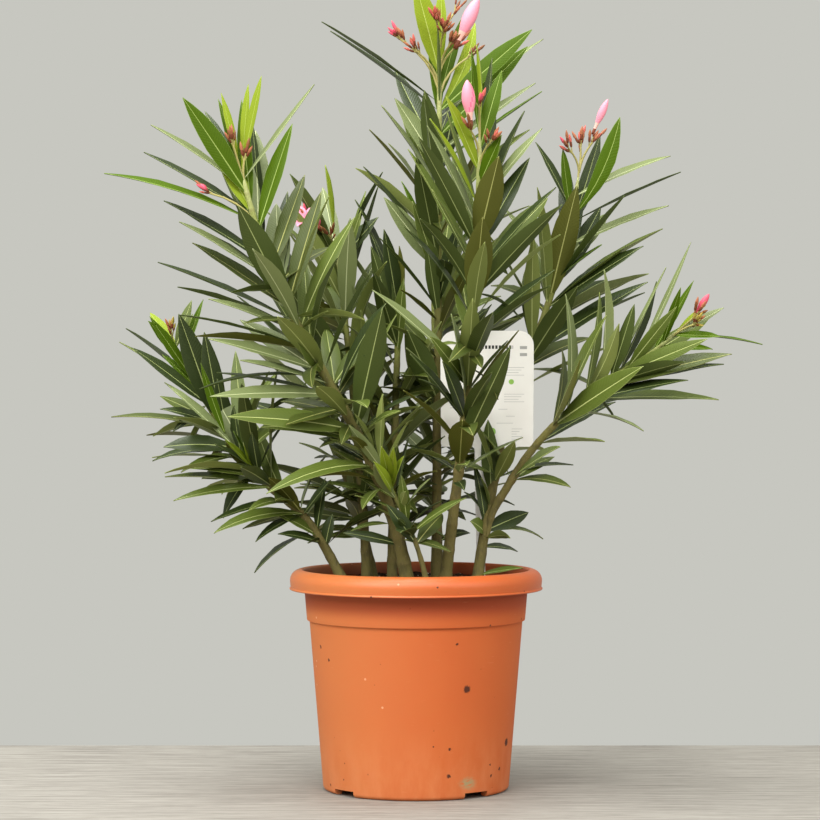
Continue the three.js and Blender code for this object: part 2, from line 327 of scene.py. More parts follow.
def pot_profile():
    """Half of the pot's section as radius and height: up the outside, over the rim, down inside."""
    rim_bottom = POT_TOP - RIM_DEPTH
    floor_top = RECESS + POT_FLOOR
    skirt = RIM_RADIUS - POT_WALL
    foot_inside = FOOT_RADIUS - FOOT_RING
    band_low = body_radius(BAND_BOTTOM) + BAND_STEP
    body_top = (body_radius(BAND_BOTTOM - 0.4), BAND_BOTTOM - 0.4)
    under_rim = POT_TOP - POT_WALL
    wall_top = (body_radius(rim_bottom) + BAND_STEP - POT_WALL, rim_bottom)
    band_inside = body_radius(BAND_BOTTOM) - POT_WALL
    wall_foot = (body_radius(floor_top) - POT_WALL, floor_top + FLOOR_ROUND)
    path = [(0, 0), (GATE_RADIUS - 2 * GATE_EDGE, 0)]
    path += corner((GATE_RADIUS - GATE_EDGE, GATE_EDGE), GATE_EDGE, -90, 0, 3)
    path += [(GATE_RADIUS + GATE_EDGE, RECESS), (FLOOR_MIDDLE, RECESS), (foot_inside - 1, RECESS)]
    path += [(foot_inside, 0.4), (foot_inside + 0.5, 0)]
    path += corner((body_radius(FOOT_ROUND) - FOOT_ROUND, FOOT_ROUND), FOOT_ROUND, -90, 0, 7)
    path += straight((body_radius(FOOT_ROUND), FOOT_ROUND), body_top, 12) + [body_top]
    path += corner((band_low - POT_EDGE, BAND_BOTTOM + POT_EDGE), POT_EDGE, -60, 0, 3)
    path += straight((band_low, BAND_BOTTOM), (NECK_RADIUS, rim_bottom), 4)
    path += [(NECK_RADIUS, rim_bottom), (MOUTH_RADIUS + RIM_FILLET, under_rim - RIM_FILLET)]
    path += [(MOUTH_RADIUS + 2 * RIM_FILLET, under_rim), (skirt - RIM_ROUND + 1, under_rim)]
    path += corner((skirt - RIM_ROUND + 1, under_rim - RIM_ROUND + 1), RIM_ROUND - 1, 60, 0, 4)
    path += [(skirt - 0.3, rim_bottom + 0.5)]
    path += corner((RIM_RADIUS - POT_EDGE, rim_bottom + POT_EDGE), POT_EDGE, -90, 30, 5)
    path += [(RIM_RADIUS - 1.0, rim_bottom + 2), (RIM_RADIUS - 0.6, rim_bottom + 5)]
    path += corner((RIM_RADIUS - RIM_ROUND - SKIRT_SLOPE, POT_TOP - RIM_ROUND), RIM_ROUND, 0, 90, 10)
    path += corner((MOUTH_RADIUS + MOUTH_ROUND, POT_TOP - MOUTH_ROUND), MOUTH_ROUND, 90, 180, 5)
    path += [(MOUTH_RADIUS - 0.6, POT_TOP - 9)]
    path += straight((MOUTH_RADIUS - 0.6, POT_TOP - 9), wall_top, 3) + [wall_top]
    path += [(band_inside + BAND_STEP, BAND_BOTTOM + 2), (band_inside, BAND_BOTTOM - 1)]
    path += straight((band_inside, BAND_BOTTOM - 1), wall_foot, 5)
    path += corner((wall_foot[0] - FLOOR_ROUND, wall_foot[1]), FLOOR_ROUND, 0, -90, 4)
    return path + [(FLOOR_MIDDLE, floor_top), (0, floor_top)]


def lathe(path, sides):
    """Points and faces of a profile in millimetres turned about Z. It starts and ends on the axis."""
    points = []
    for radius, z in path[1:-1]:
        for i in range(sides):
            angle = 2 * math.pi * i / sides
            points.append((radius * MM * math.cos(angle), radius * MM * math.sin(angle), z * MM))
    faces = []
    rings = len(path) - 2
    for ring in range(rings - 1):
        for i in range(sides):
            j = (i + 1) % sides
            faces.append((ring * sides + i, ring * sides + j,
                          (ring + 1) * sides + j, (ring + 1) * sides + i))
    bottom, top = len(points), len(points) + 1
    points += [(0, 0, path[0][1] * MM), (0, 0, path[-1][1] * MM)]
    last = (rings - 1) * sides
    for i in range(sides):
        j = (i + 1) % sides
        faces += [(bottom, j, i), (top, last + i, last + j)]
    return points, faces


def mesh_of(name, points, faces):
    """A mesh of these points and faces."""
    mesh = bpy.data.meshes.new(name)
    mesh.from_pydata([tuple(p) for p in points], [], faces)
    mesh.validate()
    return mesh


def plain(source, name):
    """An object's finished shape as a plain mesh at the origin; the source goes."""
    shape = source.evaluated_get(bpy.context.evaluated_depsgraph_get())
    made = object_of(name, bpy.data.meshes.new_from_object(shape))
    made.data.name = name
    bpy.data.objects.remove(source)
    return made


def creased(piece, angle):
    """Smooths a piece's shading, with a crease wherever its faces meet at more than an angle."""
    for face in piece.data.polygons:
        face.use_smooth = True
    piece.data.set_sharp_from_angle(angle=angle)


def pot_cutters():
    """The drainage notches through the foot ring and the drain holes, as one mesh to cut away."""
    form = bmesh.new()
    for i in range(NOTCHES):
        turn = Matrix.Rotation((i + 0.5) * 2 * math.pi / NOTCHES + NOTCH_TURN, 4, "Z")
        notch = bmesh.ops.create_cube(form, size=1)["verts"]
        bmesh.ops.scale(form, verts=notch,
                        vec=(3 * FOOT_RING * MM, NOTCH_WIDTH * MM, 2 * RECESS * MM))
        bmesh.ops.translate(form, verts=notch, vec=(FOOT_RADIUS * MM, 0, 0))
        bmesh.ops.transform(form, verts=notch, matrix=turn)
        drain = bmesh.ops.create_cone(form, cap_ends=True, segments=DRAIN_SIDES,
                                      radius1=DRAIN_RADIUS * MM, radius2=DRAIN_RADIUS * MM,
                                      depth=4 * RECESS * MM)["verts"]
        bmesh.ops.translate(form, verts=drain, vec=(DRAIN_CIRCLE * MM, 0, 0))
        bmesh.ops.transform(form, verts=drain, matrix=turn)
    return object_from(form, "pot_cutters")


# Clods of mix that splashed on the front of the wall, and the dried smear that one left: sideways
# place, height and size.
SPLASHES = [(41, 90, 3.7), (74, 42, 3.9), (-78, 121, 1.6), (26, 20, 1.9), (62, 161, 1.1),
            (33, 127, 1.5), (17, 174, 1.1), (-36, 166, 0.9), (61, 17, 1.3), (-70, 7, 1.3),
            (-71, 111, 1.6), (68, 21, 1.8), (-59, 14, 0.9), (60, 26, 1.0), (27, 42, 1.3),
            (-22, 152, 0.9), (14, 44, 0.8)]
SMUDGE = (42, 13, 11)


def on_wall(x, z):
    """The point of the front wall at a sideways place and height."""
    radius = RIM_RADIUS if z > POT_TOP - RIM_DEPTH else body_radius(z)
    return Vector((x, -math.sqrt(max(radius ** 2 - x ** 2, 0)), z)) * MM


def pot_surface(make):
    """Plastic with a painted sheen that makes its left side paler, a band of painted shade under the
    rim, paler towards the foot with dust and painted light bounced from the table, and scuffed,
    nicked and splashed; inside the mouth, a brown film left by the mix, with painted shade on it."""
    place = make.place()
    cloudy = make.noise(place, 9.0, 4.0)
    dusty = make.noise(place * (1.0, 1.0, 0.35), 60.0, 5.0, 0.65)
    grain = make.noise(place, 2600.0, 2.0)
    sideways, _, height = make.parts_of(place)
    colour = make.blend(make.step(cloudy, 0.3, 0.7), srgb(184, 85, 31), srgb(189, 92, 36))
    # Painted sheen: the left side, towards the window light, is paler as if lit more strongly.
    painted_left_light = make.step(sideways, 40 * MM, -90 * MM)
    colour = make.blend(painted_left_light * 0.5, colour, srgb(211, 131, 73))
    # Painted shade: a deeper red band just under the rim, where the rim's shadow falls on the wall.
    rim_low = (POT_TOP - RIM_DEPTH) * MM
    painted_rim_shade = make.step(height, rim_low - 22 * MM, rim_low - 9 * MM)
    painted_rim_shade = painted_rim_shade * make.step(height, rim_low + 1 * MM, rim_low)
    colour = make.blend(painted_rim_shade * 0.72, colour, srgb(150, 54, 20))
    # Paler towards the foot: dust in patches, and painted light bounced up from the pale table.
    dust_and_bounce_light = make.step(height, 70 * MM, 0.0) * make.step(dusty, 0.3, 0.7)
    colour = make.blend(dust_and_bounce_light * 0.36, colour, srgb(214, 140, 92))
    scuffed = make.noise(place * (1.0, 1.0, 9.0), 55.0, 2.0, 0.7)
    colour = make.blend(make.step(scuffed, 0.66, 0.78) * 0.14, colour, srgb(214, 146, 104))

    cell = make.cells(place, 74.0)
    pick = make.parts_of(make.cells(place, 74.0, "Color"))
    nick = make.step(cell, 0.085, 0.05) * make.step(pick[0], 0.9, 0.91)
    colour = make.blend(nick * 0.75, colour, srgb(226, 168, 130))
    speck = make.step(cell, 0.07 + 0.05 * pick[2], 0.03) * make.step(pick[1], 0.86, 0.87)
    fine_cell = make.cells(place, 210.0)
    fine_pick = make.parts_of(make.cells(place, 210.0, "Color"))
    fine_speck = make.step(fine_cell, 0.12, 0.05) * make.step(fine_pick[0], 0.955, 0.96)
    dirt = speck + fine_speck * 0.6
    ragged = (make.noise(place, 700.0, 3.0) - 0.5) * (3.2 * MM)
    for x, z, size in SPLASHES:
        away = make.size_of(place - tuple(on_wall(x, z))) + ragged
        dirt = dirt + make.step(away, size * 1.05 * MM, size * 0.55 * MM)
    dirt = make.add("ShaderNodeClamp", {}, {0: dirt})
    colour = make.blend(dirt * 0.94, colour, srgb(62, 28, 16))
    smudge_away = make.size_of((place - tuple(on_wall(*SMUDGE[:2]))) * (1.0, 1.0, 1.6))
    smear = make.step(smudge_away + ragged * 1.5, SMUDGE[2] * MM, 2 * MM)
    smear = smear * make.step(make.noise(place * (1.0, 1.0, 2.2), 190.0, 3.0), 0.36, 0.56)
    colour = make.blend(smear * 0.8, colour, srgb(146, 142, 102))
    # Inside the mouth: a brown film of dried mix with painted shade on it, strongest on the left and
    # weaker to the right, where light reaches the inner wall.
    from_axis = make.size_of(place * (1.0, 1.0, 0.0))
    inside = make.step(from_axis, (MOUTH_RADIUS + 0.5) * MM, (MOUTH_RADIUS - 1.5) * MM)
    film_and_shade = inside * make.step(height, (POT_TOP - 0.5) * MM, (POT_TOP - 4) * MM)
    above = make.step(height, (POT_TOP - RIM_DEPTH - 1) * MM, (POT_TOP - RIM_DEPTH) * MM)
    fades_to_right = 0.94 - 0.5 * make.step(sideways, 0, 80 * MM)
    colour = make.blend(film_and_shade * above * fades_to_right, colour, srgb(78, 16, 8))
    relief = grain * 0.05 + dirt * 0.5 + make.noise(place, 420.0, 2.0) * 0.12
    return {"Base Color": colour,
            "Roughness": 0.4 + 0.14 * cloudy + 0.3 * dirt + 0.1 * dust_and_bounce_light + 0.35 * film_and_shade,
            "Normal": make.bump(relief, 0.35 * MM, 0.5)}


pot_blank = object_of("pot_blank", mesh_of("pot_blank", *lathe(pot_profile(), POT_SIDES)))
cutters = pot_cutters()
cut = pot_blank.modifiers.new("cut", "BOOLEAN")
cut.operation = "DIFFERENCE"
cut.solver = "EXACT"
cut.object = cutters
pot = plain(pot_blank, "pot_shell")
bpy.data.objects.remove(cutters)
creased(pot, POT_CREASE)
pot.data.materials.clear()
pot.data.materials.append(finish_of("pot_plastic", pot_surface, Specular_IOR_Level=0.5,
                                    Subsurface_Weight=0.12, Subsurface_Scale=3 * MM))
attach(pot, "root")
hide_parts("pot")


# ---- Potting mix ----
# Dark peat with shreds of bark and a few pale grains, tipped into the pot and pressed down by hand:
# a lumpy level with loose crumbs lying on it, a finger's width below the rim.

mix_low, mix_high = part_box("potting_mix")
MIX_LEVEL = mix_high.z
MIX_RADIUS = 90.6 * MM
MIX_FOOT_RADIUS = 73 * MM
MIX_RINGS = 46
MIX_SIDES = 120
LUMP_HEIGHT = 2.6 * MM
CLODS_PER_METRE = 62
LUMPS_PER_METRE = 170


def mix_height(x, y):
    """The level of the mix at a place: a slight dish with lumps of two sizes."""
    away = math.hypot(x, y) / MIX_RADIUS
    clods = noise.noise(Vector((x, y, 0.3)) * CLODS_PER_METRE)
    lumps = clods + 0.6 * noise.noise(Vector((x, y, 1.7)) * LUMPS_PER_METRE)
    return MIX_LEVEL + LUMP_HEIGHT * (lumps + 0.5 * away ** 4 - 0.3)


def mix_block():
    """The mix as a closed block, round and lumpy on top and flat underneath."""
    points, faces = [], []
    for ring in range(1, MIX_RINGS + 1):
        radius = MIX_RADIUS * ring / MIX_RINGS
        for side in range(MIX_SIDES):
            angle = 2 * math.pi * side / MIX_SIDES
            x, y = radius * math.cos(angle), radius * math.sin(angle)
            points.append((x, y, mix_height(x, y)))
    for side in range(MIX_SIDES):
        angle = 2 * math.pi * side / MIX_SIDES
        points.append((MIX_FOOT_RADIUS * math.cos(angle), MIX_FOOT_RADIUS * math.sin(angle), mix_low.z))
    for ring in range(MIX_RINGS):
        for i in range(MIX_SIDES):
            j = (i + 1) % MIX_SIDES
            faces.append((ring * MIX_SIDES + i, (ring + 1) * MIX_SIDES + i,
                          (ring + 1) * MIX_SIDES + j, ring * MIX_SIDES + j))
    middle, under = len(points), len(points) + 1
    points += [(0, 0, mix_height(0, 0)), (0, 0, mix_low.z)]
    foot = MIX_RINGS * MIX_SIDES
    for i in range(MIX_SIDES):
        j = (i + 1) % MIX_SIDES
        faces += [(middle, i, j), (under, foot + j, foot + i)]
    return mesh_of("mix_block", points, faces)


def mix_surface(make):
    """Damp peat: crumbs with dark gaps, drier patches, and pale threads of fibre."""
    place = make.place()
    crumbs = make.cells(place, 420.0)
    damp = make.noise(place, 45.0, 4.0)
    fibre = make.noise(place * (1.0, 1.0, 4.0), 900.0, 3.0)
    colour = make.blend(make.step(crumbs, 0.1, 0.7), srgb(64, 44, 29), srgb(31, 21, 14))
    colour = make.blend(make.step(damp, 0.4, 0.7) * 0.5, colour, srgb(84, 60, 40))
    return {"Base Color": make.blend(make.step(fibre, 0.62, 0.72) * 0.6, colour, srgb(124, 95, 62)),
            "Normal": make.bump(crumbs + fibre * 0.5, 1.5 * MM)}


# What lies loose on the mix: how many, their length, width and thickness, and their colours.
CRUMB_KINDS = [
    ("peat_crumb", 900, (2.8, 2.2, 1.6), (52, 36, 24)),
    ("bark_shred", 330, (5.2, 1.7, 0.8), (106, 76, 48)),
    ("grit_grain", 70, (2.0, 1.8, 1.5), (206, 200, 188)),
]


def crumb_form(name, size, seed):
    """A knobbly crumb with two dozen faces."""
    form = bmesh.new()
    bmesh.ops.create_icosphere(form, subdivisions=1, radius=0.5)
    chance = random.Random(seed)
    for vert in form.verts:
        vert.co *= chance.uniform(0.75, 1.2)
        vert.co = Vector([c * s * MM for c, s in zip(vert.co, size)])
    return object_from(form, name)


def new_tree(name, **inputs):
    """An empty Geometry Nodes tree, its Maker, and a wire for each named input; _ is a space."""
    tree = bpy.data.node_groups.new(name, "GeometryNodeTree")
    for label, kind in inputs.items():
        tree.interface.new_socket(label.replace("_", " "), in_out="INPUT",
                                  socket_type="NodeSocket" + kind)
    tree.interface.new_socket("Shape", in_out="OUTPUT", socket_type="NodeSocketGeometry")
    make = Maker(tree)
    given = tree.nodes.new("NodeGroupInput").outputs
    return tree, make, {socket.name: Wire(make, socket) for socket in given if socket.name}


def ended(tree, shape):
    """The tree, with this wire as its result."""
    tree.links.new(shape.socket, tree.nodes.new("NodeGroupOutput").inputs[0])
    return tree


def strewing_tree():
    """Strews one kind of crumb over the upward faces of a mesh, each turned and sized by chance."""
    tree, make, wires = new_tree("strewing", Ground="Geometry", Crumb="Object", Seed="Int",
                                 Per_Square_Metre="Float", Material="Material")
    normal = make.parts_of(make.add("GeometryNodeInputNormal", {}, {}))
    upward = make.add("FunctionNodeCompare", {"data_type": "FLOAT", "operation": "GREATER_THAN"},
                      {"A": normal[2], "B": 0.6})
    spots = make.add("GeometryNodeDistributePointsOnFaces", {},
                     {"Mesh": wires["Ground"], "Selection": upward,
                      "Density": wires["Per Square Metre"], "Seed": wires["Seed"]})
    crumb = make.add("GeometryNodeObjectInfo", {}, {"Object": wires["Crumb"]}, "Geometry")
    spin = make.add("FunctionNodeRandomValue", {"data_type": "FLOAT_VECTOR"},
                    {"Min": (-0.5, -0.5, 0), "Max": (0.5, 0.5, 6.28), "Seed": wires["Seed"]})
    turn = make.add("FunctionNodeEulerToRotation", {}, {0: spin})
    size = make.add("FunctionNodeRandomValue", {"data_type": "FLOAT"},
                    {"Min": 0.5, "Max": 1.35, "Seed": wires["Seed"]})
    placed = make.add("GeometryNodeInstanceOnPoints", {},
                      {"Points": spots, "Instance": crumb, "Rotation": turn, "Scale": size})
    real = make.add("GeometryNodeRealizeInstances", {}, {"Geometry": placed})
    return ended(tree, make.add("GeometryNodeSetMaterial", {},
                                {"Geometry": real, "Material": wires["Material"]}))


def grown(name, source, tree, inputs):
    """The plain mesh that a Geometry Nodes tree makes of a source object, which goes."""
    modifier = source.modifiers.new("growth", "NODES")
    modifier.node_group = tree
    for item in tree.interface.items_tree:
        if item.in_out == "INPUT" and item.name in inputs:
            modifier[item.identifier] = inputs[item.name]
    return plain(source, name)


def joined(name, parts):
    """Several mesh objects as one, with their materials."""
    with bpy.context.temp_override(active_object=parts[0], selected_editable_objects=parts,
                                   object=parts[0]):
        bpy.ops.object.join()
    parts[0].name = parts[0].data.name = name
    return parts[0]


strewing = strewing_tree()
mix_mesh = mix_block()
mix = object_of("mix", mix_mesh)
mix_mesh.materials.append(finish_of("damp_peat", mix_surface, Roughness=0.95,
                                    Specular_IOR_Level=0.1))
mix_area = math.pi * MIX_RADIUS ** 2
litter = []
for seed, (name, count, size, colour) in enumerate(CRUMB_KINDS):
    crumb = crumb_form(name + "_form", size, seed)
    ground = object_of(name + "_ground", mix_mesh.copy())
    tone = finish_of(name, lambda make: {}, Base_Color=srgb(*colour), Roughness=0.9,
                     Specular_IOR_Level=0.1)
    litter.append(grown(name, ground, strewing, {"Crumb": crumb, "Material": tone, "Seed": seed + 5,
                                                 "Per Square Metre": count / mix_area}))
    bpy.data.objects.remove(crumb)
crumbs = joined("loose_crumbs", litter)
for piece in (mix, crumbs):
    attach(piece, "root")
    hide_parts("potting_mix")


# ---- Plant label ----
# A stick-in card of white plastic sheet, die-cut with its stake in one piece and printed on the
# front. Its print is generic and says nothing: a heading bar, thin rules and round green marks.

label_low, label_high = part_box("plant_label")
CARD_TOP = label_high.z
CARD_HEIGHT = 97 * MM
CARD_BOTTOM = CARD_TOP - CARD_HEIGHT
CARD_WIDTH = label_high.x - label_low.x
CARD_NARROW = 77 * MM
CARD_CORNER = 12 * MM
CARD_SHOULDER = 36 * MM
CARD_THICK = 0.7 * MM
CARD_BOW = 2.2 * MM
CARD_CHAMFER = 2 * MM
CARD_STEPS = 5
CARD_CREASE = math.radians(40)
CARD_TALLNESS = 1.24
STAKE_WIDTH = 6 * MM
STAKE_POINT = 18 * MM
STAKE_SIDEWAYS = -4.5 * MM
STAKE_FILLET = 3 * MM
card_middle = Vector(((label_low.x + label_high.x) / 2, (label_low.y + label_high.y) / 2, 0))


def card_side(sign):
    """The outline up one side, as places across and up, from the stake's point to the top."""
    stake = STAKE_SIDEWAYS + sign * STAKE_WIDTH / 2
    low, shoulder = (CARD_NARROW / 2, CARD_BOTTOM), (CARD_WIDTH / 2, CARD_TOP - CARD_SHOULDER)
    side = [(low[0] - CARD_CHAMFER, CARD_BOTTOM), (low[0], CARD_BOTTOM + CARD_CHAMFER)]
    side += straight(low, shoulder, CARD_STEPS) + [shoulder]
    side += corner((shoulder[0] - CARD_CORNER, CARD_TOP - CARD_CORNER), CARD_CORNER, 0, 90, 10)
    foot = [(stake, label_low.z + STAKE_POINT), (stake, CARD_BOTTOM - STAKE_FILLET),
            (stake + sign * STAKE_FILLET, CARD_BOTTOM)]
    return foot + [(sign * x, z) for x, z in side]


def card_form():
    """The sheet without its thickness, bowed a little to the front down its middle."""
    form = bmesh.new()
    outline = [(STAKE_SIDEWAYS, label_low.z), *card_side(1), *reversed(card_side(-1))]
    rim = [form.verts.new((x, 0, z)) for x, z in outline]
    face = form.faces.new(rim)
    bmesh.ops.triangulate(form, faces=[face])
    bmesh.ops.subdivide_edges(form, edges=form.edges[:], cuts=2)
    for vert in form.verts:
        across = vert.co.x / (CARD_WIDTH / 2)
        up = max(vert.co.z - MIX_LEVEL, 0) / (CARD_TOP - MIX_LEVEL)
        vert.co.y = CARD_BOW * (0.2 - 0.7 * across ** 2 + 0.6 * up ** 2)
        vert.co += card_middle
    return object_from(form, "card_sheet")


# The blocks of thin lines: the height of the first, how many, and their two ends.
PRINTED_LINES = [(0.68, 4, 0.7, 0.9), (0.66, 3, 0.1, 0.3), (0.45, 4, 0.68, 0.9),
                 (0.32, 1, 0.62, 0.72), (0.26, 1, 0.7, 0.8), (0.2, 1, 0.6, 0.78),
                 (0.42, 5, 0.1, 0.34), (0.15, 6, 0.76, 0.88)]


def card_print(make):
    """The print, by places across and up from the card's lower left, as parts of its size."""
    place = make.place()
    sideways, _, height = make.parts_of(place)
    u, v = (sideways - label_low.x) / CARD_WIDTH, (height - CARD_BOTTOM) / CARD_HEIGHT
    edge = 0.004

    def bar(left, right, low, high):
        across = make.step(u, left, left + edge) * make.step(u, right, right - edge)
        return across * make.step(v, low, low + edge) * make.step(v, high, high - edge)

    def dot(across, up, radius):
        far = {0: u - across, 1: (v - up) * CARD_TALLNESS}
        return make.step(make.size_of(make.add("ShaderNodeCombineXYZ", {}, far)), radius, radius - edge)

    ink = bar(0.2, 0.78, 0.842, 0.876) * make.step(make.of("SINE", u * 170.0), -0.6, -0.4)
    grey = bar(0.16, 0.34, 0.952, 0.962)
    grey = grey + bar(0.85, 0.93, 0.84, 0.87) + bar(0.85, 0.93, 0.78, 0.81)
    for block, count, left, right in PRINTED_LINES:
        for line in range(count):
            low = block - 0.022 * line
            grey = grey + bar(left, right - 0.03 * ((line * 7) % 3), low, low + 0.007)
    green = dot(0.76, 0.56, 0.03) + dot(0.55, 0.13, 0.045) + dot(0.2, 0.78, 0.03)
    soft = make.noise(place, 40.0, 3.0)
    colour = make.blend(make.step(soft, 0.3, 0.7), srgb(242, 238, 231), srgb(246, 243, 236))
    facing = make.parts_of(make.add("ShaderNodeNewGeometry", {}, {}, "Normal"))[1]
    front = make.step(facing, 0.0, -0.2) * make.step(v, -0.01, 0.0)
    grey = front * make.add("ShaderNodeClamp", {}, {0: grey}) * 0.7
    green = front * make.add("ShaderNodeClamp", {}, {0: green})
    colour = make.blend(grey, colour, srgb(112, 112, 108))
    colour = make.blend(green, colour, srgb(148, 196, 84))
    return {"Base Color": make.blend(front * ink, colour, srgb(40, 42, 40))}


card_sheet = card_form()
thicken = card_sheet.modifiers.new("thickness", "SOLIDIFY")
thicken.thickness = CARD_THICK
thicken.offset = 0
card = plain(card_sheet, "label_card")
creased(card, CARD_CREASE)
card.data.materials.append(finish_of("printed_card", card_print, Roughness=0.42))
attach(card, "root")
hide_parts("plant_label")


# ---- Stems ----
# Young woody stems: smooth olive-brown bark at the foot that goes green and then yellow-green where
# the wood is new. Each old joint is a low brownish swelling, where a whorl of leaves has fallen.

# One entry for each shoot: its limb, how far up it the leaves begin, the gap between their whorls,
# the compass turn of the first whorl, the length of a full-grown leaf and how long ago it
# flushed, from 0 for old foliage to 1 for a tip in full growth. Lengths in millimetres.
SHOOTS = {
    "left": ("stem_left", 112, 22, 20, 112, 0.9),
    "centre": ("stem_centre", 100, 22, 35, 110, 0.7),
    "right": ("stem_right", 96, 22, 0, 112, 0.8),
    "far_right": ("bough_far_right", 54, 19, 50, 106, 0.6),
    "far_left": ("stem_far_left", 124, 19, 15, 100, 0.6),
    "low_left": ("bough_low_left", 4, 17, 40, 100, 0.5),
    "top": ("stem_top", 150, 22, 10, 112, 1.0),
    "back_left": ("stem_back_left", 72, 21, 45, 104, 0.8),
    "middle": ("stem_middle", 60, 19, 10, 104, 0.3),
    "back": ("stem_back", 64, 21, 0, 108, 0.6),
    "rear_left": ("stem_rear_left", 60, 20, 30, 106, 0.5),
    "twig": ("stem_twig", 56, 14, 20, 58, 0.5),
}
SLICES = 44
END_TRIM = 2.5 * MM
FOOT_DEPTH = 6 * MM
FORK_DEPTH = 9 * MM
BARK_STEP = 2 * MM
TIP_TAPER = 16 * MM
JOINT_SWELL = 0.08
JOINT_LENGTH = 2.6 * MM
LINE_SMOOTHINGS = 12
WOODY = 0.75


class CentreLine:
    """The middle of a limb from its foot to its tip, with its radius, at even steps."""

    def __init__(self, points, radii):
        along = np.concatenate([[0], np.cumsum(np.linalg.norm(np.diff(points, axis=0), axis=1))])
        self.length = along[-1]
        self.steps = np.linspace(0, self.length, round(self.length / BARK_STEP) + 1)
        self.points = np.stack([np.interp(self.steps, along, points[:, i]) for i in range(3)], 1)
        self.radii = np.interp(self.steps, along, radii)
        for _ in range(LINE_SMOOTHINGS):
            self.points[1:-1] = (self.points[:-2] + 2 * self.points[1:-1] + self.points[2:]) / 4
        self.ways = np.gradient(self.points, axis=0)
        self.ways /= np.linalg.norm(self.ways, axis=1)[:, None]

    def at(self, distance):
        """The place, direction and radius at a distance from the foot."""
        place = [np.interp(distance, self.steps, self.points[:, i]) for i in range(3)]
        way = [np.interp(distance, self.steps, self.ways[:, i]) for i in range(3)]
        return Vector(place), Vector(way).normalized(), np.interp(distance, self.steps, self.radii)


def line_through(node):
    """A limb's centre line, from level slices through its solid."""
    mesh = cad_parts[node].data
    corners = np.array([v.co[:] for v in mesh.vertices])
    triangles = np.array([p.vertices[:] for p in mesh.polygons])
    ends = np.concatenate([triangles[:, [0, 1]], triangles[:, [1, 2]], triangles[:, [2, 0]]])
    start, end = corners[ends[:, 0]], corners[ends[:, 1]]
    slices = []
    for z in np.linspace(corners[:, 2].min() + END_TRIM, corners[:, 2].max() - END_TRIM, SLICES):
        crossing = (start[:, 2] - z) * (end[:, 2] - z) < 0
        share = (z - start[crossing, 2]) / (end - start)[crossing, 2]
        slices.append(start[crossing] + share[:, None] * (end - start)[crossing])
    middles = np.array([s.mean(0) for s in slices])
    ways = np.gradient(middles, axis=0)
    ways /= np.linalg.norm(ways, axis=1)[:, None]
    radii = []
    for cut, middle, way in zip(slices, middles, ways):
        out = cut - middle
        radii.append(np.linalg.norm(out - np.outer(out @ way, way), axis=1).mean())
    below = END_TRIM + (FORK_DEPTH if node.startswith("bough") else FOOT_DEPTH)
    foot = middles[0] - ways[1] * below
    tip = middles[-1] + ways[-2] * END_TRIM
    return CentreLine(np.vstack([foot, middles, tip]), [radii[0], *radii, radii[-1]])


def joints_of(line, shoot):
    """The distances of a shoot's whorls along its centre line, closer together towards the tip."""
    _, bare, gap, *_ = SHOOTS[shoot]
    places = [bare * MM]
    while True:
        share = places[-1] / line.length
        place = places[-1] + gap * MM * (1 - 0.5 * share ** 3)
        if place > line.length - 3 * MM:
            return places
        places.append(place)


def bark_surface(make):
    """Bark by age, read along the stem, with scars at its joints and fine cracks lengthways."""
    place = make.place()
    age = make.add("ShaderNodeAttribute", {"attribute_name": "age"}, {}, "Fac")
    swell = make.add("ShaderNodeAttribute", {"attribute_name": "swell"}, {}, "Fac")
    blotch = make.noise(place, 140.0, 4.0, 0.6)
    cracks = make.noise(place * (1.0, 1.0, 0.16), 1500.0, 4.0, 0.6)
    tone = make.add("ShaderNodeValToRGB", {"stops": [
        (0.0, srgb(190, 194, 132)), (0.2, srgb(132, 140, 62)), (0.5, srgb(116, 116, 58)),
        (0.8, srgb(116, 110, 56)), (1.0, srgb(108, 99, 52))]},
        {0: age + (blotch - 0.5) * 0.3}, "Color")
    tone = make.blend(make.step(cracks, 0.5, 0.75) * make.step(age, 0.3, 0.8) * 0.6, tone,
                      srgb(122, 106, 70))
    tone = make.blend(make.step(swell + (blotch - 0.5) * 0.5, 0.5, 0.9) * 0.28, tone,
                      srgb(120, 104, 62))
    grime = make.step(make.noise(place * (1.0, 1.0, 0.4), 240.0, 3.0), 0.48, 0.7)
    tone = make.blend(grime * make.step(age, 0.35, 0.75) * 0.55, tone, srgb(74, 68, 44))
    lenticel = make.step(make.cells(place * (1.0, 1.0, 0.6), 380.0), 0.16, 0.08)
    tone = make.blend(lenticel * make.step(age, 0.3, 0.6) * 0.6, tone, srgb(142, 126, 90))
    return {"Base Color": tone, "Roughness": 0.5 + 0.3 * age,
            "Normal": make.bump(cracks + lenticel * 0.5 + blotch * 0.8, 0.8 * MM, 1.0)}


def named(make, name, kind="FLOAT"):
    """A value that the mesh stores for each of its points."""
    return make.add("GeometryNodeInputNamedAttribute", {"data_type": kind}, {"Name": name})


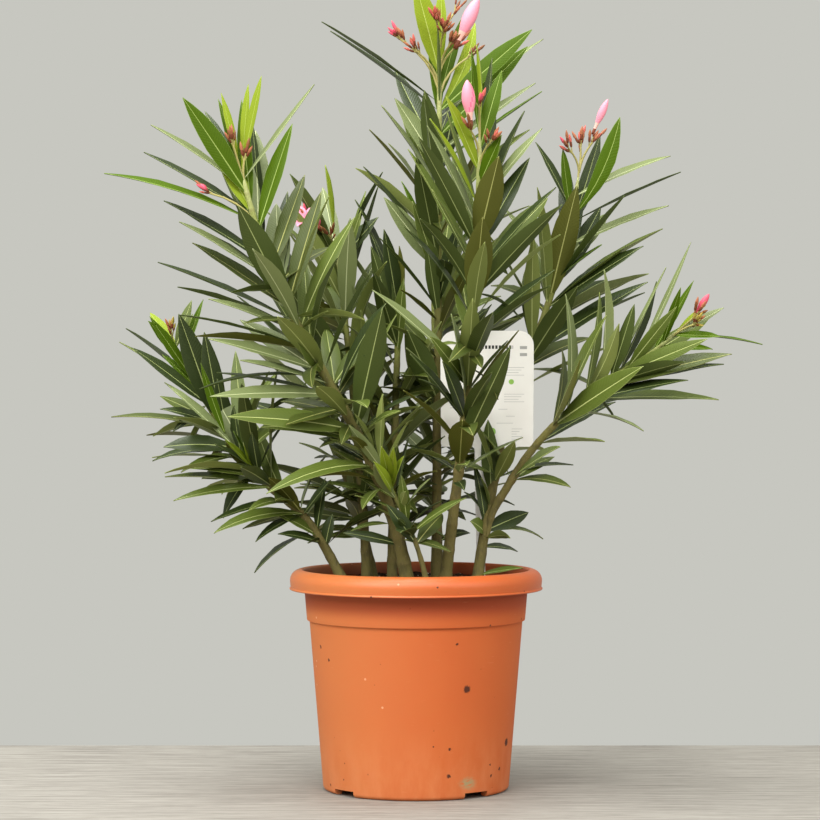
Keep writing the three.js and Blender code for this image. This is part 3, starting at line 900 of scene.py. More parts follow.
def bark_tree():
    """A tube round a line of points, as thick as their girth, with a little unevenness."""
    tree, make, wires = new_tree("bark_growth", Line="Geometry", Sides="Int",
                                 Unevenness="Float", Material="Material")
    curve = make.add("GeometryNodeMeshToCurve", {}, {"Mesh": wires["Line"]})
    ring = make.add("GeometryNodeCurvePrimitiveCircle", {},
                    {"Resolution": wires["Sides"], "Radius": 1.0})
    tube = make.add("GeometryNodeCurveToMesh", {},
                    {"Curve": curve, "Profile Curve": ring, "Scale": named(make, "girth"),
                     "Fill Caps": True})
    place = make.add("GeometryNodeInputPosition", {}, {})
    normal = make.add("GeometryNodeInputNormal", {}, {})
    lumps = make.noise(place * (1.0, 1.0, 0.4), 260.0, 2.0) - 0.5
    offset = normal * (lumps * wires["Unevenness"] * named(make, "girth"))
    rough = make.add("GeometryNodeSetPosition", {}, {"Geometry": tube, "Offset": offset})
    smooth = make.add("GeometryNodeSetShadeSmooth", {}, {"Geometry": rough})
    return ended(tree, make.add("GeometryNodeSetMaterial", {},
                                {"Geometry": smooth, "Material": wires["Material"]}))


def put_values(mesh, name, kind, values):
    """Stores one value for each point of a mesh."""
    attribute = mesh.attributes.new(name, kind, "POINT")
    attribute.data.foreach_set("vector" if kind == "FLOAT_VECTOR" else "value",
                               np.array(values, np.float32 if kind != "INT" else np.int32).ravel())


lines = {shoot: line_through(entry[0]) for shoot, entry in SHOOTS.items()}
bark_growth = bark_tree()
bark = finish_of("bark", bark_surface, Specular_IOR_Level=0.3)
for shoot, (limb, bare, gap, *_) in SHOOTS.items():
    line = lines[shoot]
    old_joints = np.arange(bare * MM, 4 * MM, -gap * MM)
    joints = np.concatenate([joints_of(line, shoot), old_joints])
    near = np.exp(-((line.steps[:, None] - joints) / JOINT_LENGTH) ** 2).sum(1)
    from_tip = line.length - line.steps
    taper = np.clip(from_tip / TIP_TAPER, 0.25, 1) ** 0.5
    growth = object_of("growth_line", bpy.data.meshes.new("growth_line"))
    growth.data.from_pydata(line.points.tolist(), [(i, i + 1) for i in range(len(line.steps) - 1)], [])
    put_values(growth.data, "girth", "FLOAT", line.radii * (1 + JOINT_SWELL * near) * taper)
    put_values(growth.data, "swell", "FLOAT", near)
    put_values(growth.data, "age", "FLOAT", np.clip(from_tip / (WOODY * line.length), 0, 1))
    bark_piece = grown("bark_" + shoot, growth, bark_growth,
                       {"Sides": 12, "Unevenness": 0.16, "Material": bark})
    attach(bark_piece, "root")
    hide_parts(limb)


# ---- Leaves ----
# Narrow leathery leaves in whorls of three, each whorl turned half a leaf from the one below. A
# leaf is a thin blade folded a little along its pale midrib. Old ones bend back from the stem, and
# the newest stand up round the tip, short, folded and bright.

# The upper side, midrib and under side of each kind of leaf. "aged", "grown", "fresh" and
# "young" are ages and "petal" is the open flower's; "dark" is old foliage darkened with painted
# shade, for leaves deep in the crown, and "pale" is a painted sheen, for leaves that catch the light.
LEAF_COLOURS = {
    "aged": (srgb(70, 81, 30), srgb(166, 166, 98), srgb(86, 88, 32)),
    "dark": (srgb(43, 56, 16), srgb(158, 168, 106), srgb(70, 82, 36)),
    "grown": (srgb(85, 99, 36), srgb(184, 192, 122), srgb(122, 132, 68)),
    "pale": (srgb(110, 121, 74), srgb(198, 204, 154), srgb(124, 134, 84)),
    "fresh": (srgb(68, 92, 8), srgb(146, 164, 84), srgb(110, 132, 58)),
    "young": (srgb(130, 148, 38), srgb(172, 186, 90), srgb(138, 154, 62)),
    "petal": (srgb(248, 164, 188), srgb(252, 196, 208), srgb(226, 110, 146)),
}
LEAF_GLOSS = {"aged": 0.3, "dark": 0.36, "grown": 0.28, "pale": 0.28, "fresh": 0.1, "young": 0.08,
              "petal": 0.08}
LEAF_KINDS = list(LEAF_COLOURS)
UPPER, RIB, UNDER = range(3)

# Where rows of points cross a blade, from the leafstalk to the tip, as parts of its length; then its
# midrib and margin, as parts of its half-width.
BLADE_STATIONS = [0.0, 0.04, 0.12, 0.24, 0.38, 0.52, 0.66, 0.79, 0.9, 0.97, 1.0]
RIB_HALF = 0.066
MARGIN = 0.03


def blade_width(u):
    """A blade's half-width at a part of its length, as a part of the widest."""
    lens = math.sin(math.pi * u ** 0.94) ** 0.86
    stalk = 0.11 * (1 - u) ** 4
    return max(lens, stalk, 0.012)


def blade_form():
    """One flat leaf along X, a unit long, with its sides named by part. A point's Y and Z are parts
    of the half-width and the thickness."""
    points, faces, parts = [], [], []
    for u in BLADE_STATIONS:
        width = blade_width(u)
        rib = min(RIB_HALF * (1 - 0.8 * u), 0.5 * width)
        inner = max(width - MARGIN, 0.7 * width)
        points += [(u, -width, 0), (u, -inner, 0.5), (u, -rib, 0.5), (u, rib, 0.5), (u, inner, 0.5),
                   (u, width, 0), (u, rib, -1.2), (u, -rib, -1.2)]
    ring = [UNDER, UPPER, RIB, UPPER, UNDER, UNDER, RIB, UNDER]
    for station in range(len(BLADE_STATIONS) - 1):
        for side, part in enumerate(ring):
            near, far = station * 8, station * 8 + 8
            faces.append((near + side, far + side, far + (side + 1) % 8, near + (side + 1) % 8))
            parts.append(part)
    last = 8 * (len(BLADE_STATIONS) - 1)
    faces += [tuple(range(8)), tuple(last + 7 - i for i in range(8))]
    parts += [RIB, RIB]
    mesh = mesh_of("blade_form", points, faces)
    put_values(mesh, "blade", "FLOAT_VECTOR", points)
    part = mesh.attributes.new("part", "INT", "FACE")
    part.data.foreach_set("value", parts)
    sharp = mesh.attributes.new("sharp_edge", "BOOLEAN", "EDGE")
    for edge in mesh.edges:
        sides = {i % 8 for i in edge.vertices}
        sharp.data[edge.index].value = sides in ({0}, {5})
    return object_of("blade_form", mesh)


def blade_tree():
    """Sets a blade on every point and gives it that leaf's own length, width, bend and fold."""
    tree, make, wires = new_tree("leafing", Buds="Geometry", Blade="Object", Thickness="Float",
                                 Waviness="Float", Seed="Int")
    ruffle = make.add("FunctionNodeRandomValue", {"data_type": "FLOAT"},
                      {"Min": 0.0, "Max": 6.28, "Seed": wires["Seed"]})
    marked = make.add("GeometryNodeStoreNamedAttribute", {"data_type": "FLOAT", "domain": "POINT"},
                      {"Geometry": wires["Buds"], "Name": "ruffle", "Value": ruffle})
    blade = make.add("GeometryNodeObjectInfo", {}, {"Object": wires["Blade"]}, "Geometry")
    placed = make.add("GeometryNodeInstanceOnPoints", {}, {"Points": marked, "Instance": blade})
    real = make.add("GeometryNodeRealizeInstances", {}, {"Geometry": placed})

    u, side, rise = make.parts_of(named(make, "blade", "FLOAT_VECTOR"))
    length, half, droop = make.parts_of(named(make, "size", "FLOAT_VECTOR"))
    fold, sway, belly = make.parts_of(named(make, "form", "FLOAT_VECTOR"))
    way, face = named(make, "way", "FLOAT_VECTOR"), named(make, "face", "FLOAT_VECTOR")
    across = make.add("ShaderNodeVectorMath", {"operation": "CROSS_PRODUCT"}, {0: face, 1: way})
    half = half * (1.0 + belly * (u * 2.0 - 1.0))
    bend = droop * u
    forward = length * make.of("SINE", bend) / droop
    sink = length * (make.of("COSINE", bend) - 1.0) / droop
    wave = make.of("SINE", u * 17.0 + named(make, "ruffle")) * wires["Waviness"] * side
    lift = (make.of("ABSOLUTE", side) * make.of("SINE", fold) + wave) * half + rise * wires["Thickness"]
    lift = lift * make.of("SINE", make.of("SQRT", u * 0.999) * 1.57)
    outward = side * half * make.of("COSINE", fold) + sway * u * u * length
    place = (named(make, "root", "FLOAT_VECTOR")
             + way * (forward + make.of("SINE", bend) * lift)
             + face * (sink + make.of("COSINE", bend) * lift)
             + across * outward)
    shaped = make.add("GeometryNodeSetPosition", {}, {"Geometry": real, "Position": place})
    shaped = make.add("GeometryNodeSetShadeSmooth", {}, {"Geometry": shaped})
    code = named(make, "age", "INT") * 3.0 + named(make, "part", "INT")
    for number, material in enumerate(leaf_finishes):
        chosen = make.add("FunctionNodeCompare", {"data_type": "FLOAT", "operation": "EQUAL"},
                          {"A": code, "B": float(number), "Epsilon": 0.1})
        shaped = make.add("GeometryNodeSetMaterial", {},
                          {"Geometry": shaped, "Selection": chosen, "Material": material})
    return ended(tree, shaped)


def leather(make):
    """The fine side veins, which leave the midrib close together and run to the margin."""
    u, side, _ = make.parts_of(make.add("ShaderNodeAttribute", {"attribute_name": "blade"}, {}, "Vector"))
    place = make.place()
    veins = make.of("SINE", (u * 9.0 - make.of("ABSOLUTE", side) * 0.9) * 22.0)
    pores = make.noise(place, 900.0, 2.0)
    return {"Roughness": 0.4 + 0.16 * make.noise(place, 90.0, 2.0),
            "Normal": make.bump(veins * 0.3 + pores * 0.3, 0.2 * MM, 0.5)}


leaf_finishes = []
for age, colours in LEAF_COLOURS.items():
    for part, colour in zip(("upper", "rib", "under"), colours):
        leaf_finishes.append(finish_of(f"leaf_{age}_{part}", leather, Base_Color=colour,
                                       Specular_IOR_Level=LEAF_GLOSS[age] if part == "upper" else 0.2))

# How a shoot's leaves change from its lowest whorl to its tip.
UP_THE_SHOOT = [0.0, 0.3, 0.6, 0.85, 1.0]
LEAF_LENGTH = [0.6, 0.9, 0.96, 0.82, 0.55]
LEAF_SLIMNESS = [0.1, 0.092, 0.086, 0.082, 0.08]
LEAF_ANGLE = [58, 48, 40, 30, 16]
LEAF_DROOP = [20, 14, 8, 3, -6]
LEAF_FOLD = [12, 15, 18, 22, 30]
WHORL = 3
SKYWARD = 0.2
FACE_UP = 0.3
FACE_SPREAD = 0.45
GREEN_TIP = 16
FRONT = Vector((0, -1, 0.15))
CARD_CLEARANCE = 8 * MM

# How far below a shoot's tip only its leading leaves, and a few behind them, are grown.
LEAD = {"left": 130, "centre": 84, "right": 100, "far_right": 96, "far_left": 100, "low_left": 44,
        "top": 120, "back_left": 30, "middle": 30, "back": 0, "rear_left": 0, "twig": 0}

# Gaps in the crown where the room shows through it from the front, and those that leave the label
# clear: sideways place, height and radius.
GAPS = [(-62, 560, 40), (-60, 492, 10), (118, 578, 28), (-215, 432, 30), (-100, 286, 16),
        (195, 262, 55), (135, 236, 30), (92, 305, 15), (94, 330, 15), (95, 356, 15),
        (240, 440, 20), (272, 422, 20), (-246, 420, 24), (-282, 372, 22), (-19, 474, 14),
        (-10, 454, 14), (-1, 434, 14), (4, 416, 14), (9, 397, 12), (-15, 361, 10),
        (84, 376, 13), (68, 366, 10), (154, 572, 12), (-151, 580, 9), (-168, 574, 9),
        (40, 352, 8), (-36, 213, 9), (-14, 207, 8), (47, 541, 9), (49, 497, 8), (113, 522, 9)]

# The leaves that make each shoot's outline: the height of the root on the limb, the place of the
# leaf's point, its half-width, how far its upper side (or under side, below 0) is turned to the
# front, its droop in degrees and its kind: an age, "dark" for painted shade, "pale" for a painted
# sheen. Some end with their belly, and some also with their sway.
LEADERS = {
    "left": [
        (489, (-186, -95, 564), 9.6, 0.8, 4, "fresh"), (494, (-213, -75, 544), 7, 0.3, 4, "pale"),
        (472, (-221, -50, 524), 8, 0.2, 2, "dark"), (466, (-249, -90, 504), 8, 0.3, 18, "fresh"),
        (460, (-100, -60, 546), 8.4, 0.6, 4, "fresh"), (500, (-83, -40, 580), 5, 0.1, -4, "pale"),
        (506, (-124, -78, 583), 3.8, 0.8, 2, "young", 0.6),
        (504, (-135, -70, 577), 3.8, 0.7, 2, "young", 0.6),
        (515, (-157, -70, 570), 4, 0.6, 2, "young"), (505, (-160, -60, 566), 4, 0.5, 2, "fresh"),
        (474, (-162, -65, 526), 9, 0.7, 4, "young"), (458, (-132, -20, 544), 11, 0.9, 4, "pale"),
        (415, (-115, -20, 484), 11, 0.8, 4, "pale"), (398, (-141, -112, 477), 12, -0.85, 4, "dark"),
        (430, (-91, -30, 507), 8, 0.6, 2, "aged"), (400, (-77, -50, 492), 9, 0.7, 4, "aged"),
        (432, (-204, -60, 484), 9, 0.3, 6, "dark"), (418, (-190, -80, 466), 9, 0.35, 4, "pale"),
        (398, (-181, -60, 450), 9, 0.4, 4, "aged"), (386, (-208, -70, 434), 8, 0.2, 6, "dark"),
        (378, (-166, -90, 404), 8, 0.4, 4, "pale"), (362, (-189, -100, 391), 6, 0.1, 14, "dark"),
        (346, (-166, -95, 372), 9, 0.45, 6, "pale"), (336, (-140, -100, 355), 9, 0.4, 4, "pale"),
        (340, (-173, -90, 332), 6, 0.1, 30, "dark"), (327, (-164, -100, 326), 8, 0.6, 12, "pale"),
        (298, (-150, -105, 310), 10, 0.75, 20, "grown"), (268, (-119, -110, 249), 8, 0.6, 44, "grown"),
        (345, (-98, -95, 380), 9, 0.8, 4, "grown"), (298, (-27, -95, 396), 12, -0.85, 6, "dark", 0.25),
        (204, (-60, -36, 214), 5, 0.7, 16, "dark"),
    ],
    "centre": [
        (509, (24, -62, 568), 7, 0.7, 4, "young"), (480, (11, -75, 549), 6, 0.5, 4, "young"),
        (526, (70, -32, 592), 7, 0.8, 4, "fresh"), (497, (69, -62, 537), 7, 0.7, 2, "fresh"),
        (482, (103, -30, 545), 7, 0.35, 2, "pale"), (448, (66, -85, 518), 12, -0.85, 4, "aged"),
        (400, (53, -90, 469), 12, -0.85, 4, "aged"), (444, (93, -30, 521), 9, 0.6, 4, "dark"),
        (424, (113, -60, 495), 8, 0.4, 4, "dark"), (375, (112, -60, 428), 8, 0.4, 6, "dark"),
        (343, (-35, -90, 411), 9, 0.5, 6, "pale"), (430, (13, -60, 493), 8, 0.4, 4, "grown"),
        (281, (75, -95, 366), 10, -0.8, 6, "dark"), (330, (45, -98, 404), 9, -0.8, 4, "grown"),
        (268, (37, -84, 307), 11, -0.9, 6, "aged", 0.35), (318, (82, -84, 379), 4, 0.3, 4, "aged"),
        (328, (74, -60, 371), 4, 0.2, 6, "dark"), (322, (28, -84, 392), 8, 0.6, 4, "pale"),
        (335, (11, -88, 374), 8, 0.8, 4, "grown"), (308, (21, -86, 354), 8, 0.75, 4, "dark"),
        (306, (-5, -84, 360), 7, 0.6, 6, "dark"),
    ],
    "twig": [
        (206, (-24, -56, 238), 7, 0.8, 10, "dark"), (222, (-12, -60, 262), 5, 0.6, 6, "grown"),
        (250, (-28, -84, 286), 6, 0.85, 2, "young"), (250, (-18, -82, 285), 5, 0.8, 2, "young"),
        (246, (-34, -88, 274), 5, 0.8, 8, "young"), (250, (-10, -78, 278), 5, 0.7, 4, "young"),
    ],
    "right": [
        (478, (175, 82, 564), 7.8, 0.9, 2, "fresh", 0.8, 0.3),
        (478, (126, 84, 537), 5, 0.7, -10, "fresh", 0.5),
        (483, (104, 112, 545), 6, 0.3, 4, "dark"), (497, (221, 112, 533), 7, 0.35, 12, "pale"),
        (474, (227, 80, 517), 6, 0.05, 4, "dark"), (453, (218, 95, 489), 8, 0.35, 6, "pale"),
        (400, (194, 68, 453), 10, 0.5, 6, "dark"), (361, (197, 58, 422), 11, 0.5, 6, "dark"),
        (407, (137, 58, 504), 12, -0.8, 4, "aged"), (415, (146, 122, 503), 9, 0.6, 4, "dark"),
        (425, (158, 60, 454), 6, 0.4, 2, "fresh"), (213, (95, 40, 227), 8, 0.8, 10, "dark"),
        (212, (108, 50, 204), 4, 0.4, 44, "grown"), (200, (86, 40, 194), 5, 0.5, 20, "dark"),
        (243, (60, 14, 306), 8, -0.8, 4, "dark"), (216, (48, 10, 270), 5, 0.7, 24, "dark"),
        (222, (40, 4, 246), 4, 0.4, 34, "dark"), (212, (45, -6, 222), 7, 0.7, 30, "grown", 0.3),
        (232, (54, -4, 258), 5, 0.5, 16, "grown"), (177, (88, -16, 184), 5, 0.4, 4, "grown"),
    ],
    "far_right": [
        (338, (204, -36, 431), 3.4, 0.5, -6, "pale"), (352, (225, -30, 452), 3, 0.5, -10, "pale"),
        (372, (251, -40, 398), 5, 0.6, 4, "pale"), (375, (282, -45, 368), 4, 0.1, 16, "fresh"),
        (348, (210, -66, 398), 6, 0.9, 2, "grown"), (362, (226, -44, 420), 4, 0.7, -4, "fresh"),
        (368, (214, -60, 414), 4, 0.8, 0, "fresh"), (376, (246, -64, 374), 5, 0.6, 2, "fresh"),
        (366, (240, -58, 364), 5, 0.6, 6, "fresh"), (377, (236, -40, 400), 3, 0.6, 0, "young"),
        (340, (234, -74, 372), 8, 0.8, 4, "grown"), (330, (250, -50, 352), 8, 0.4, 10, "dark"),
        (333, (254, -72, 360), 10, 0.6, 8, "aged"), (320, (220, -60, 339), 8, 0.5, 8, "dark"),
        (302, (181, -92, 350), 11, 0.8, 6, "grown"), (304, (153, -72, 391), 10, 0.6, 4, "grown"),
        (339, (178, -40, 401), 7, 0.5, 2, "dark"), (259, (117, -50, 285), 9, 0.6, 8, "grown"),
    ],
    "far_left": [
        (359, (-223, 10, 388), 6, 0.7, 2, "fresh"), (362, (-226, 60, 396), 6, 0.6, 2, "young"),
        (308, (-197, 0, 394), 11, 0.9, 4, "dark"), (318, (-237, 10, 366), 7, 0.6, 8, "dark"),
        (325, (-251, 50, 371), 4, 0.1, 4, "grown"), (296, (-255, 20, 308), 7, 0.3, 22, "aged"),
        (365, (-189, 40, 406), 5, 0.8, 2, "grown"), (355, (-180, 50, 407), 4, 0.5, 2, "fresh"),
        (298, (-176, 4, 379), 9, 0.8, 4, "dark"), (300, (-212, -5, 315), 7, 0.5, 16, "dark"),
        (330, (-213, 30, 360), 6, 0.4, 4, "fresh"), (340, (-222, 12, 392), 5, 0.8, 0, "fresh"),
        (290, (-165, 0, 340), 8, 0.7, 4, "dark"), (276, (-196, 10, 262), 7, 0.4, 30, "grown"),
        (212, (-75, -6, 258), 6, 0.6, 4, "dark"), (200, (-69, -8, 228), 6, 0.7, 10, "dark", 0.2),
        (209, (-118, -12, 229), 7, 0.5, 20, "grown"), (203, (-114, -16, 212), 6, 0.5, 24, "dark"),
    ],
    "low_left": [
        (283, (-207, -30, 284), 9, 0.6, 30, "dark"), (280, (-218, -10, 272), 7, 0.3, 34, "dark"),
        (258, (-189, -35, 267), 7, 0.4, 14, "grown"), (250, (-199, -30, 240), 7, 0.4, 22, "grown"),
        (224, (-165, -42, 214), 8, 0.5, 44, "grown"), (216, (-132, -25, 206), 6, 0.4, 30, "dark"),
        (266, (-156, -36, 290), 3.6, 0.7, 0, "young"), (266, (-141, -34, 292), 3.6, 0.7, 0, "young"),
        (270, (-149, -34, 297), 3, 0.6, 0, "fresh"), (262, (-164, -45, 287), 6, 0.5, 8, "dark"),
        (262, (-134, -40, 296), 6, 0.7, 4, "dark"), (278, (-150, -20, 318), 7, 0.5, 4, "dark"),
        (215, (-70, -24, 257), 5, 0.6, 4, "dark"),
    ],
    "top": [
        (598, (-2, 38, 678), 11, 0.8, 4, "young"), (566, (98, 40, 634), 9, 0.85, 4, "fresh", 0.2),
        (545, (95, 60, 622), 9, 0.85, 4, "fresh", 0.2),
        (566, (51, 92, 646), 7, 0.8, 2, "young", 0.3, 0.25),
        (560, (110, 100, 633), 6, 0.3, 4, "pale"), (573, (-80, 60, 643), 8, 0.0, 4, "dark"),
        (566, (-73, 76, 637), 8, 0.05, 4, "dark"), (570, (18, 28, 637), 2.4, 0.5, 2, "dark"),
        (507, (7, 18, 581), 9, -0.7, 4, "dark"), (531, (102, 70, 592), 7, 0.35, 2, "pale"),
        (520, (106, 40, 582), 6, 0.2, 2, "fresh"), (518, (-18, 60, 578), 9, 0.6, 4, "pale"),
        (500, (-29, 38, 570), 7, 0.3, 4, "pale"), (440, (-44, 30, 518), 8, 0.3, 4, "dark"),
        (476, (-39, 30, 549), 7, 0.1, 6, "aged"), (392, (9, 16, 453), 6, -0.6, 2, "dark"),
        (398, (-30, 8, 457), 5, 0.2, 6, "dark"), (388, (-13, -4, 414), 4, 0.1, 8, "aged"),
        (425, (-3, 16, 488), 8, 0.7, 4, "grown"), (432, (-27, 26, 492), 9, 0.8, 4, "pale"),
        (322, (-7, -8, 380), 11, -0.85, 4, "dark"), (404, (36, 8, 470), 7, 0.7, 4, "dark"),
    ],
    "middle": [
        (392, (-27, 40, 466), 8, 0.7, 4, "dark"), (376, (-38, 40, 452), 8, -0.7, 4, "dark"),
        (400, (-14, 44, 452), 6, 0.5, 2, "aged"), (360, (-10, 30, 424), 7, 0.6, 4, "grown"),
    ],
    "back_left": [
        (438, (-32, 58, 477), 9, 0.6, 4, "dark"), (425, (-46, 44, 482), 8, 0.6, 4, "grown"),
        (415, (-96, 60, 482), 8, 0.5, 4, "aged"),
    ],
}


# Small old leaves left in the shade of the crown, from low on the bare wood up to a part of the
# stem's length: how many, and their length and half-width.
SHADE_LEAVES = {"left": 28, "centre": 17, "right": 13, "far_right": 4, "far_left": 18,
                "low_left": 6, "top": 28, "back_left": 28, "middle": 28, "back": 26,
                "rear_left": 28, "twig": 6}
SHADE_LOWEST = 38 * MM
SHADE_TOP = 0.72
SHADE_LENGTH = (28, 66)
SHADE_SLIMNESS = (0.09, 0.18)
SHADE_DROOP = (5, 50)
SHADE_FOLD = 12
LEAF_ROOT = 0.8
YOUNG_FOLD = 26
GROWN_FOLD = 17
UP = Vector((0, 0, 1))


def shade_leaf(foliage, line, chance):
    """A small leaf that stands out or hangs from the lower wood."""
    place, way, radius = line.at(chance.uniform(SHADE_LOWEST, SHADE_TOP * line.length))
    out = round_stem(way, chance.uniform(0, 2 * math.pi))
    ahead = out + UP * chance.uniform(-0.2, 0.7)
    face = UP + out.cross(UP) * chance.gauss(0, 0.5)
    length = chance.uniform(*SHADE_LENGTH) * MM
    half = length * chance.uniform(*SHADE_SLIMNESS)
    # Some of these take the kind "dark": painted shade for the inside of the crown.
    if not in_gap(place, ahead.normalized() * length):
        foliage.leaf(place + out * radius * LEAF_ROOT, ahead, face, length, half,
                     chance.uniform(*SHADE_DROOP), SHADE_FOLD, chance.choice(("dark", "grown", "aged")))


def leaf_kind_at(share, flush, chance):
    """The kind of a leaf at a share of its shoot's leafy length: young and fresh near the tip; lower
    down, by chance, grown and aged ones, "dark" ones in painted shade and "pale" ones with a painted
    sheen.
    """
    newness = share + 0.2 * (flush - 0.5) + chance.uniform(-0.1, 0.1)
    if newness > 1.06:
        return "young"
    if newness > 0.92:
        return "fresh"
    if newness > 0.5:
        return chance.choice(("grown", "grown", "dark", "dark", "pale"))
    return chance.choice(("aged", "dark", "grown", "grown", "pale"))


def meets_card(spine):
    """Whether a leaf along these points would go through the label's card."""
    for near, far in zip(spine, spine[1:]):
        if (near.y - card_middle.y) * (far.y - card_middle.y) < 0:
            meeting = near.lerp(far, (card_middle.y - near.y) / (far.y - near.y))
            beside = abs(meeting.x - card_middle.x) - CARD_WIDTH / 2
            above = abs(meeting.z - CARD_TOP + CARD_HEIGHT / 2) - CARD_HEIGHT / 2
            if max(beside, above) < CARD_CLEARANCE:
                return True
    return False


class Foliage:
    """The leaves of one piece, each as a root, a way, a face and its measures."""

    def __init__(self):
        self.rows = []

    def leaf(self, root, way, face, length, half, droop, fold, age, sway=0.0, belly=0.0):
        """One leaf. Its way and face are turned square to each other; angles in degrees. It sways
        sideways by a part of its length, and a belly above 0 makes it widest in its outer half."""
        way = way.normalized()
        face = (face - way * face.dot(way)).normalized()
        bend = math.radians(droop if abs(droop) > 0.5 else 0.5)
        spine = [root + (way * math.sin(bend * u) + face * (math.cos(bend * u) - 1)) * length / bend
                 for u in (0, 0.25, 0.5, 0.75, 1)]
        if meets_card(spine):
            return
        self.rows.append((tuple(root), tuple(way), tuple(face), (length, half, bend),
                          (math.radians(fold), sway, belly), LEAF_KINDS.index(age)))

    def piece(self, name, seed):
        """All the leaves as one plain mesh."""
        mesh = bpy.data.meshes.new("leaf_places")
        mesh.from_pydata([row[0] for row in self.rows], [], [])
        for column, value in enumerate(("root", "way", "face", "size", "form")):
            put_values(mesh, value, "FLOAT_VECTOR", [row[column] for row in self.rows])
        put_values(mesh, "age", "INT", [row[5] for row in self.rows])
        made = grown(name, object_of("leaf_places", mesh), leafing,
                     {"Blade": blade, "Thickness": 0.5 * MM, "Waviness": 0.05, "Seed": seed})
        for spare in ("root", "way", "face", "size", "form", "ruffle", "age", "part"):
            if spare in made.data.attributes:
                made.data.attributes.remove(made.data.attributes[spare])
        return made


def round_stem(way, azimuth):
    """The direction square to a stem at a compass angle, 0 to the right and 90 to the back."""
    right = (Vector((1, 0, 0)) - way * way.x).normalized()
    back = way.cross(right)
    return right * math.cos(azimuth) + back * math.sin(azimuth)


def in_gap(root, reach):
    """Whether a leaf would hang in one of the crown's gaps, as seen from the front."""
    for share in (0.35, 0.6, 0.8, 0.95):
        point = (root + reach * share) / MM
        if any(math.hypot(point.x - x, point.z - z) < radius for x, z, radius in GAPS):
            return True
    return False


def whorled_leaf(foliage, line, distance, azimuth, share, size, age, chance):
    """One leaf of a whorl, as the shoot's age at that height shapes it, with its own chance."""
    place, way, radius = line.at(distance)
    out = round_stem(way, azimuth)
    angle = math.radians(np.interp(share, UP_THE_SHOOT, LEAF_ANGLE) + chance.gauss(0, 6))
    ahead = way * math.cos(angle) + out * math.sin(angle) + UP * SKYWARD * chance.random()
    face = way * math.sin(angle) - out * math.cos(angle) + UP * FACE_UP
    face += ahead.cross(face) * chance.gauss(0, FACE_SPREAD)
    length = size * MM * np.interp(share, UP_THE_SHOOT, LEAF_LENGTH) * chance.uniform(0.84, 1.1)
    half = length * np.interp(share, UP_THE_SHOOT, LEAF_SLIMNESS) * chance.uniform(0.84, 1.16)
    droop = np.interp(share, UP_THE_SHOOT, LEAF_DROOP) + chance.gauss(0, 7)
    fold = np.interp(share, UP_THE_SHOOT, LEAF_FOLD) + chance.gauss(0, 4)
    sway = chance.gauss(0, 0.03)
    if not in_gap(place, ahead.normalized() * length):
        foliage.leaf(place + out * radius * LEAF_ROOT, ahead, face, length, half, droop, fold, age,
                     sway, chance.gauss(0.05, 0.12))


def leading_leaf(foliage, line, height, point, half, show, droop, age, belly=0.08, sway=0.0):
    """A leaf from the limb at a height to its point, bent so that it just reaches it."""
    root, stem_way, _ = line.at(np.interp(height * MM, line.points[:, 2], line.steps))
    chord = Vector(point) * MM - root
    natural = UP * 1.2 + stem_way * 0.6
    front = FRONT if show > 0 else -FRONT
    face = (natural - chord * natural.dot(chord) / chord.length_squared).normalized()
    face = face * (1 - abs(show)) + front * abs(show)
    face = (face - chord * face.dot(chord) / chord.length_squared).normalized()
    bend = math.radians(droop)
    way = chord.normalized() * math.cos(bend / 2) + face * math.sin(bend / 2)
    length = chord.length * (bend / 2 / math.sin(bend / 2) if droop else 1)
    way -= face.cross(way) * sway
    fold = YOUNG_FOLD if age == "young" else GROWN_FOLD
    foliage.leaf(root, way, face, length / way.length, half * MM, droop, fold, age, sway, belly)


blade = blade_form()
leafing = blade_tree()
shoot_lines = {}
for seed, (shoot, (limb, bare, gap, turn, size, flush)) in enumerate(SHOOTS.items()):
    wood, foliage = lines[shoot], Foliage()
    tip, way, radius = wood.at(wood.length)
    green_end = np.array(tip + way * GREEN_TIP * MM)
    line = CentreLine(np.vstack([wood.points, green_end]), [*wood.radii, 0.6 * radius])
    shoot_lines[shoot] = line
    chance = random.Random(seed + 40)
    joints = joints_of(line, shoot)
    for number, distance in enumerate(joints):
        share = (distance - bare * MM) / (line.length - bare * MM)
        azimuths = [turn + 60 * number + 120 * leaf for leaf in range(WHORL)]
        if distance > line.length - LEAD[shoot] * MM:
            azimuths = [65 + 50 * (number % 2)]
        for azimuth in azimuths:
            azimuth = math.radians(azimuth + chance.gauss(0, 8))
            whorled_leaf(foliage, line, distance, azimuth, share, size,
                         leaf_kind_at(share, flush, chance), chance)
    for leader in LEADERS.get(shoot, []):
        leading_leaf(foliage, line, *leader)
    for _ in range(SHADE_LEAVES[shoot]):
        shade_leaf(foliage, line, chance)
    leaves = foliage.piece("leaves_" + shoot, seed)
    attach(leaves, "root")
    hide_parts("foliage_" + shoot)


# ---- Flower heads ----
# The flowering tips end in loose forked heads of buds, held in small red-brown calyces. Most are
# young and coral or brown; the oldest are pale pink, furled like an umbrella, and one has opened.

BUD_COLOURS = {
    "calyx": srgb(124, 66, 44),
    "brown": srgb(130, 82, 46),
    "orange": srgb(172, 106, 74),
    "gold": srgb(176, 158, 72),
    "coral": srgb(206, 104, 92),
    "rose": srgb(214, 84, 104),
    "pale": srgb(238, 186, 172),
    "pink": srgb(238, 146, 164),
    "deep": srgb(222, 112, 142),
}
BUD_KINDS = {"brown": ("brown", "orange", "brown"), "coral": ("coral", "orange", "orange"),
             "rose": ("rose", "coral", "orange"), "gold": ("gold", "orange", "gold")}

